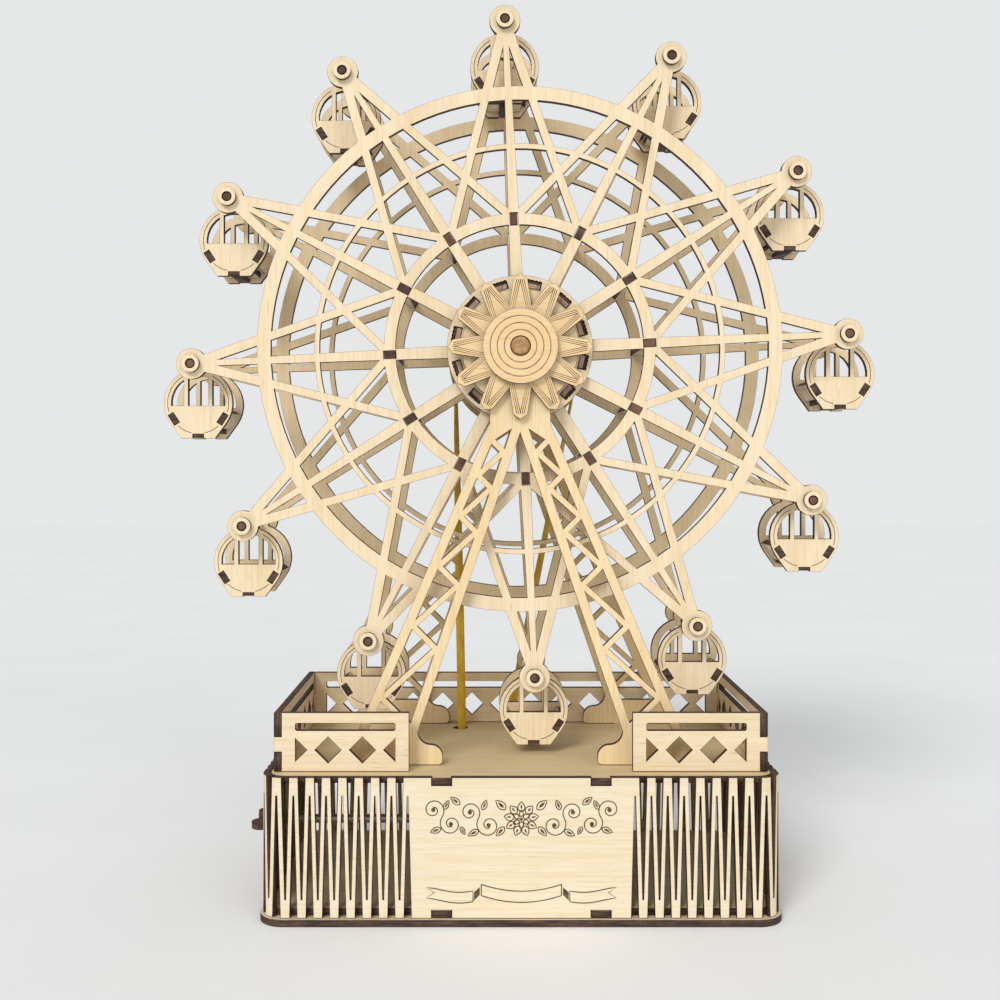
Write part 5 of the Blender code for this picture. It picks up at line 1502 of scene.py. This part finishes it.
@dataclass
class Cabins:
    """The twelve cabins, each with two round frames, a floor, side panels, pin and washers."""

    finishes: Finishes
    radius: float = 0.0153
    length: float = 0.026
    drop: float = 0.0165
    lug: float = 0.0048
    rim: float = 0.0033
    sill: float = 0.0012
    mullion_spacing: float = 0.0108
    mullion: float = 0.0019
    foot_width: float = 0.0150
    foot_proud: float = 0.0004
    notch_width: float = 0.0050
    notch_height: float = 0.0020
    panel_width: float = 0.0080
    panel_inset: float = 0.0024
    panel_deg: float = 57.0
    tab_length: float = 0.0052
    tab_depth: float = 0.0026
    pin: float = 0.0016
    washer: float = 0.0038
    washer_length: float = 0.0024
    plate_spacing: float = 0.048
    pin_gap: float = 0.0022
    pin_gap_depth: float = 0.0010
    line_inset: float = 0.0017
    line_width: float = 0.0004

    @property
    def center(self) -> Vector:
        """The round frame's centre below its pin."""
        return Vector((0.0, -self.drop))

    def frame_loops(self) -> list[Loop]:
        """An end frame's outline, its windows and the slots of its tabs."""
        middle_point = self.center
        foot_x, foot_y = self.foot_width / 2, -self.drop - self.radius - self.foot_proud
        notch_x, notch_y = self.notch_width / 2, foot_y + self.notch_height
        join_y = (self.radius**2 - self.lug**2 + self.drop**2) / (2 * self.drop)
        meeting = middle_point + Vector((math.sqrt(self.radius**2 - join_y**2), join_y))
        foot = Vector((foot_x, -self.radius - self.foot_proud))
        foot_deg = bearing(foot) + math.degrees(math.acos(self.radius / foot.length))
        half = [Vector((notch_x, notch_y)), Vector((notch_x, foot_y)), Vector((foot_x, foot_y))]
        half += arc(self.radius, foot_deg, bearing(meeting, middle_point), middle_point)
        half += arc(self.lug, bearing(meeting), 90.0)[1:]
        outline = half + mirrored(half)[1:]
        window = self.radius - self.rim
        bar_in = (self.mullion_spacing - self.mullion) / 2
        bar_out = (self.mullion_spacing + self.mullion) / 2
        top_deg = math.degrees(math.acos(bar_in / window))
        sill = -self.sill
        center_window = [middle_point + Vector((bar_in, sill))]
        center_window += arc(window, top_deg, 180.0 - top_deg, middle_point)
        center_window.append(middle_point + Vector((-bar_in, sill)))
        sill_deg = math.degrees(math.asin(sill / window))
        side_deg = math.degrees(math.acos(bar_out / window))
        side_window = [middle_point + Vector((bar_out, sill))] + arc(window, sill_deg, side_deg, middle_point)
        slots = [
            rectangle(self.tab_depth + 0.0002, self.tab_length + 0.0002,
                      polar(self.radius - self.panel_inset, degrees, middle_point), degrees)
            for degrees in (-90.0 - self.panel_deg, -90.0 + self.panel_deg)
        ]
        return [outline, center_window, side_window, mirrored(side_window)] + slots

    def ring_lines(self) -> list[Loop]:
        """The engraved line that follows the frame's rim, broken at its tabs, its notch and its top."""
        radius = self.radius - self.line_inset
        below = arc(radius, -90.0 + self.panel_deg - 15.0, -90.0 + 13.0, self.center)
        above = arc(radius, -90.0 + self.panel_deg + 16.0, 62.0, self.center)
        return [below, mirrored(below), above, mirrored(above)]

    def model(self) -> Object:
        """Model one cabin about its pin.

        Returns:
            The joined mesh object, its pin along Y through the origin.
        """
        looks = self.finishes
        pieces = []
        frame_y = (self.length - PLY) / 2
        for y, facing in ((-frame_y, Facing.FRONT), (frame_y, Facing.BACK)):
            sheet = Sheet("cabin_frame", self.frame_loops(), looks.wheel, looks.edge_y,
                          mark=looks.engraved, grooves=self.ring_lines(),
                          groove_width=self.line_width, closed_grooves=False)
            pieces.append(sheet.stand(facing.turn, Vector((0.0, y, 0.0))))
        between = self.length - 2 * PLY
        for degrees in (-90.0 - self.panel_deg, -90.0 + self.panel_deg):
            spot = polar(self.radius - self.panel_inset, degrees, self.center)
            panel = Board("cabin_panel", PLY, self.panel_width, between, spot, degrees,
                          looks.cream_side, looks.edge_y)
            pieces.append(panel.stand(Facing.FRONT.turn, CENTER))
            tab = Sheet("cabin_tab", [rectangle(self.tab_depth, self.tab_length, spot, degrees)],
                        looks.edge_z, looks.edge_z, thickness=self.length - 0.0004)
            pieces.append(tab.stand(Facing.FRONT.turn, CENTER))
        floor_y = -self.drop - self.radius - self.foot_proud + self.notch_height + PLY / 2 + FIT
        floor = Board("cabin_floor", self.foot_width, PLY, between, Vector((0.0, floor_y)), 0.0,
                      looks.cream_side, looks.edge_y)
        pieces.append(floor.stand(Facing.FRONT.turn, CENTER))
        spot = Vector((0.0, floor_y - PLY / 2 - 0.0009))
        key = rectangle(self.notch_width - 0.0002, self.notch_height, spot)
        tab = Sheet("cabin_foot_tab", [key], looks.edge_z, looks.edge_z, thickness=self.length - 0.0006)
        pieces.append(tab.stand(Facing.FRONT.turn, CENTER))
        pieces.append(self.pin_and_washers())
        return join(pieces, "cabin_model")

    def pin_and_washers(self) -> Object:
        """The pin through both plates, with a washer on each end and a dark gap round it."""
        looks = self.finishes
        half = self.plate_spacing / 2 + PLY / 2 + FIT
        end = half + self.washer_length
        floor, gap = end - self.pin_gap_depth, self.pin_gap
        side = [(self.pin, end - 0.0003), (self.pin, floor), (gap, floor), (gap, end),
                (self.washer - 0.0002, end), (self.washer, end - 0.0002),
                (self.washer, half), (self.pin, half)]
        profile = [(0.0, end - 0.0003)] + side
        profile += [(radius, -height) for radius, height in reversed(side)] + [(0.0, 0.0003 - end)]
        pin = turned("cabin_pin", profile, looks.dowel, 32)
        for material in (looks.wheel, looks.edge_z, looks.tab_end):
            pin.data.materials.append(material)
        for polygon in pin.data.polygons:
            radius = polygon.center.xy.length
            if abs(polygon.center.z) > half + 0.0001:
                flat = abs(polygon.normal.z) > 0.5
                if flat and radius > gap + 0.0001:
                    polygon.material_index = 1
                else:
                    polygon.material_index = 3 if flat and radius < self.pin else 2
        place(pin, Matrix.Rotation(-math.pi / 2, 4, "X"), CENTER)
        return pin

    def build(self) -> None:
        """Copy the model to each pin, each copy with its own mesh."""
        model = self.model()
        pins = {joint["child"]: joint["pos_m"] for joint in frame["record"]["behaviour"]["joints"]}
        for sector in range(SECTORS):
            node = f"cabin_{sector + 1:02d}"
            cabin = bpy.data.objects.new(node + "_gondola", model.data.copy())
            bpy.context.scene.collection.objects.link(cabin)
            place(cabin, Matrix.Identity(4), Vector(pins[node]))
            dress(cabin, node, "cream_plywood", node)
        bpy.data.objects.remove(model, do_unlink=True)


@dataclass
class DriveBand:
    """The flat yellow rubber band round both pulleys, with a twist in its free strands."""

    finishes: Finishes
    big_circle: float = 0.0300
    small_circle: float = 0.0081
    width: float = 0.0040
    thickness: float = 0.0011
    twist_deg: float = 84.0
    twist_peak: float = 0.76
    strand_steps: int = 48
    soft: float = 0.25

    def centres(self) -> tuple[Vector, Vector]:
        """The axes of the two pulleys in X and Z."""
        big, small = middle("main_axle"), middle("arbor")
        return Vector((big.x, big.z)), Vector((small.x, small.z))

    def route(self) -> list[tuple[Vector, float]]:
        """Points along the band, each with the twist that it has there.

        Returns:
            Pairs of a point in X and Z and a twist in degrees, once round.
        """
        big, small = self.centres()
        run = small - big
        spread = math.degrees(math.acos((self.big_circle - self.small_circle) / run.length))
        right, left = bearing(run) + spread, bearing(run) - spread
        points = [(point, 0.0) for point in arc(self.big_circle, right, left + 360.0, big)]
        for start_deg, from_big in ((left, True), (right, False)):
            top = polar(self.big_circle, start_deg, big)
            bottom = polar(self.small_circle, start_deg, small)
            start, end = (top, bottom) if from_big else (bottom, top)
            for step in range(1, self.strand_steps):
                share = step / self.strand_steps
                down = share if from_big else 1.0 - share
                lean = min(down / self.twist_peak, (1.0 - down) / (1.0 - self.twist_peak))
                twist = self.twist_deg * math.sin(math.pi / 2 * lean) * (1.0 if from_big else -0.75)
                points.append((start + (end - start) * share, twist))
            if from_big:
                points += [(point, 0.0) for point in arc(self.small_circle, left, right, small)]
        return points

    def section(self) -> list[tuple[float, float]]:
        """The corners of the band's section, as shares of its half width and half thickness."""
        soft = self.soft
        half = [(-1, -soft), (-1, soft), (soft - 1, 1), (1 - soft, 1)]
        return half + [(-across, -out) for across, out in half]

    def build(self) -> None:
        """Sweep the band's flat section along its route."""
        y = middle("drive_band").y
        route = self.route()
        mesh = bpy.data.meshes.new("drive_band_flat")
        draft = bmesh.new()
        rings = []
        count = len(route)
        for i, (point, twist) in enumerate(route):
            before, after = route[i - 1][0], route[(i + 1) % count][0]
            along = (after - before).normalized()
            outward = Vector((along.y, 0.0, -along.x))
            flat = Matrix.Rotation(math.radians(twist), 3, Vector((along.x, 0.0, along.y)))
            across = flat @ Vector((0.0, 1.0, 0.0))
            out = flat @ outward
            center = Vector((point.x, y, point.y))
            ring = []
            for a, b in self.section():
                spot = center + across * (a * self.width / 2) + out * (b * self.thickness / 2)
                ring.append(draft.verts.new(spot))
            rings.append(ring)
        for i in range(count):
            near, far = rings[i], rings[(i + 1) % count]
            for j in range(8):
                draft.faces.new((near[j], near[(j + 1) % 8], far[(j + 1) % 8], far[j]))
        bmesh.ops.recalc_face_normals(draft, faces=draft.faces)
        draft.to_mesh(mesh)
        draft.free()
        band = bpy.data.objects.new("drive_band_flat", mesh)
        bpy.context.scene.collection.objects.link(band)
        mesh.materials.append(self.finishes.rubber)
        choose(band)
        bpy.ops.object.shade_smooth_by_angle(angle=math.radians(60.0))
        dress(band, "stand", "yellow_rubber", "drive_band")


@dataclass
class Movement:
    """The wind-up music movement inside the box."""

    finishes: Finishes
    tracks: int = 18
    pins_per_track: int = 14
    skin: float = 0.0007
    bore: float = 0.0018
    pin_size: Triple = (0.0009, 0.00028, 0.00028)

    def build(self) -> None:
        """Dress the movement and give its cylinder pins."""
        looks = self.finishes
        for node in ("movement_bedplate", "governor_housing", "spring_barrel", "cylinder_gear"):
            refinish(node, looks.brass)
        for node in ("arbor", "key_shaft", "movement_comb"):
            refinish(node, looks.steel)
        pulley = GroovedPulley("small_pulley", flange=0.0100, groove=0.0069, boss=0.0040, bore=0.0016)
        dress(pulley.build(looks.pulley), "music_cylinder", "tan_plywood", "small_pulley")
        self.build_cylinder()

    def build_cylinder(self) -> None:
        """Make the brass cylinder with its rows of pins."""
        low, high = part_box("pinned_cylinder")
        length, radius = high[1] - low[1], (high[2] - low[2]) / 2
        half, skin = length / 2, radius - self.skin
        profile = [(self.bore, half), (skin - 0.0003, half), (skin, half - 0.0003),
                   (skin, 0.0003 - half), (skin - 0.0003, -half), (self.bore, -half)]
        pieces = [turned("pinned_cylinder_pins", profile, self.finishes.brass, 64)]
        order = random.Random(7)
        pin = block("pin", self.pin_size, CENTER, self.finishes.steel)
        for track in range(self.tracks):
            height = (track + 0.5) / self.tracks * length - half
            for _ in range(self.pins_per_track):
                copy = pin.copy()
                copy.data = pin.data.copy()
                bpy.context.scene.collection.objects.link(copy)
                degrees = order.uniform(0.0, 360.0)
                spot = polar(skin + 0.0002, degrees)
                place(copy, Matrix.Rotation(math.radians(degrees), 4, "Z"), Vector((spot.x, spot.y, height)))
                pieces.append(copy)
        bpy.data.objects.remove(pin, do_unlink=True)
        cylinder = join(pieces, "pinned_cylinder_pins")
        place(cylinder, Matrix.Rotation(-math.pi / 2, 4, "X"), middle("pinned_cylinder"))
        dress(cylinder, "music_cylinder", "brass", "pinned_cylinder")


@dataclass
class WindingKey:
    """The wooden key on the left, glued from three layers."""

    finishes: Finishes
    length: float = 0.0105
    width: float = 0.0260
    hub_width: float = 0.0090
    lobe: float = 0.0045
    waist: float = 0.0085
    start_deg: float = -60.0
    cheek: float = 0.00145
    cheek_corner: float = 0.0015

    def build(self) -> None:
        """Make the winged middle layer and the two cheeks round the key shaft."""
        looks = self.finishes
        low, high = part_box("winding_key")
        lobe = Vector((self.length - self.lobe, self.width / 2 - self.lobe))
        half = [Vector((self.waist, 0.0))] + arc(self.lobe, self.start_deg, 180.0, lobe)
        half += [Vector((lobe.x - self.lobe, self.hub_width / 2)), Vector((0.0, self.hub_width / 2))]
        outline = half + [Vector((point.x, -point.y)) for point in reversed(half[1:])]
        center = middle("winding_key")
        layers = [Sheet("key_wings", [outline], looks.edge_y, looks.edge_z).cut()]
        cheek = soft_slot(
            self.waist, self.hub_width, self.cheek_corner, Vector((self.waist / 2, 0.0))
        )
        for side in (-1, 1):
            layer = Sheet("key_cheek", [cheek], looks.edge_y, looks.edge_z, thickness=self.cheek).cut()
            layer.location = (0.0, 0.0, side * (PLY + self.cheek) / 2)
            layers.append(layer)
        key = join(layers, "winding_key_layers")
        place(key, Matrix.Rotation(math.pi, 4, "Z"), Vector((high[0], center.y, center.z)))
        dress(key, "winding_key", "scorched_plywood", "winding_key")


@dataclass
class Studio:
    """The camera at the photograph's angle, soft lamps and a plain pale floor."""

    eye: Triple = (-0.0125, -0.5605, 0.1917)
    lens: float = 44.1
    shift_x: float = 0.009
    shift_y: float = -0.040

    def sun(self, name: str, direction: tuple, softness: float, strength: float) -> None:
        """Add a soft sun that shines along a direction."""
        data = bpy.data.lights.new(name, "SUN")
        data.angle = math.radians(softness)
        data.energy = strength
        obj = bpy.data.objects.new(name, data)
        bpy.context.scene.collection.objects.link(obj)
        obj.rotation_euler = Vector(direction).to_track_quat("-Z", "Y").to_euler()

    def build(self) -> None:
        """Set up the camera, the lamps, the world and the floor."""
        scene = bpy.context.scene
        data = bpy.data.cameras.new("camera")
        data.lens = self.lens
        data.sensor_width = 36.0
        data.shift_x, data.shift_y = self.shift_x, self.shift_y
        camera = bpy.data.objects.new("camera", data)
        scene.collection.objects.link(camera)
        camera.location = self.eye
        camera.rotation_euler = (math.pi / 2, 0.0, 0.0)
        scene.camera = camera
        self.sun("key_sun", (0.45, 1.0, -0.80), 22.0, 1.75)
        self.sun("fill_sun", (-0.60, 1.0, -0.35), 40.0, 0.55)
        self.world()
        self.floor()
        scene.view_settings.view_transform = "Standard"

    def world(self) -> None:
        """A soft white sky that shows plain to the camera."""
        world = bpy.data.worlds.new("studio")
        bpy.context.scene.world = world
        world.use_nodes = True
        tree = world.node_tree
        background = tree.nodes["Background"]
        background.inputs["Color"].default_value = (0.95, 0.96, 0.97, 1.0)
        background.inputs["Strength"].default_value = 0.55
        shown = tree.nodes.new("ShaderNodeBackground")
        shown.inputs["Color"].default_value = (0.785, 0.798, 0.806, 1.0)
        path = tree.nodes.new("ShaderNodeLightPath")
        mix = tree.nodes.new("ShaderNodeMixShader")
        tree.links.new(path.outputs["Is Camera Ray"], mix.inputs["Fac"])
        tree.links.new(background.outputs["Background"], mix.inputs[1])
        tree.links.new(shown.outputs["Background"], mix.inputs[2])
        tree.links.new(mix.outputs["Shader"], tree.nodes["World Output"].inputs["Surface"])

    def floor(self) -> None:
        """A wide pale floor under the object."""
        bpy.ops.object.select_all(action="DESELECT")
        bpy.ops.mesh.primitive_plane_add(size=6.0, location=(0.0, 0.0, 0.0))
        floor = bpy.context.active_object
        floor.name = "studio_floor"
        material, tree, shader = new_material("studio_floor")
        grain = noise(tree, stretched(tree, (9.0, 9.0, 9.0)), 2.0)
        color = ramp(tree, grain, [(0.3, (0.875, 0.88, 0.88)), (0.7, (0.90, 0.905, 0.905))])
        tree.links.new(color, shader.inputs["Base Color"])
        shader.inputs["Roughness"].default_value = 0.8
        floor.data.materials.append(material)


def main() -> None:
    """Build the classes in order."""
    logging.basicConfig(level=logging.INFO, format="%(name)s: %(message)s")
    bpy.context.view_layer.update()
    finishes = Finishes()
    for part in (BaseBox, Towers, Fences, Hub, Wheel, Cabins, DriveBand, Movement, WindingKey):
        LOG.info("building %s", part.__name__)
        part(finishes).build()
    Studio().build()


if __name__ == "__main__":
    main()
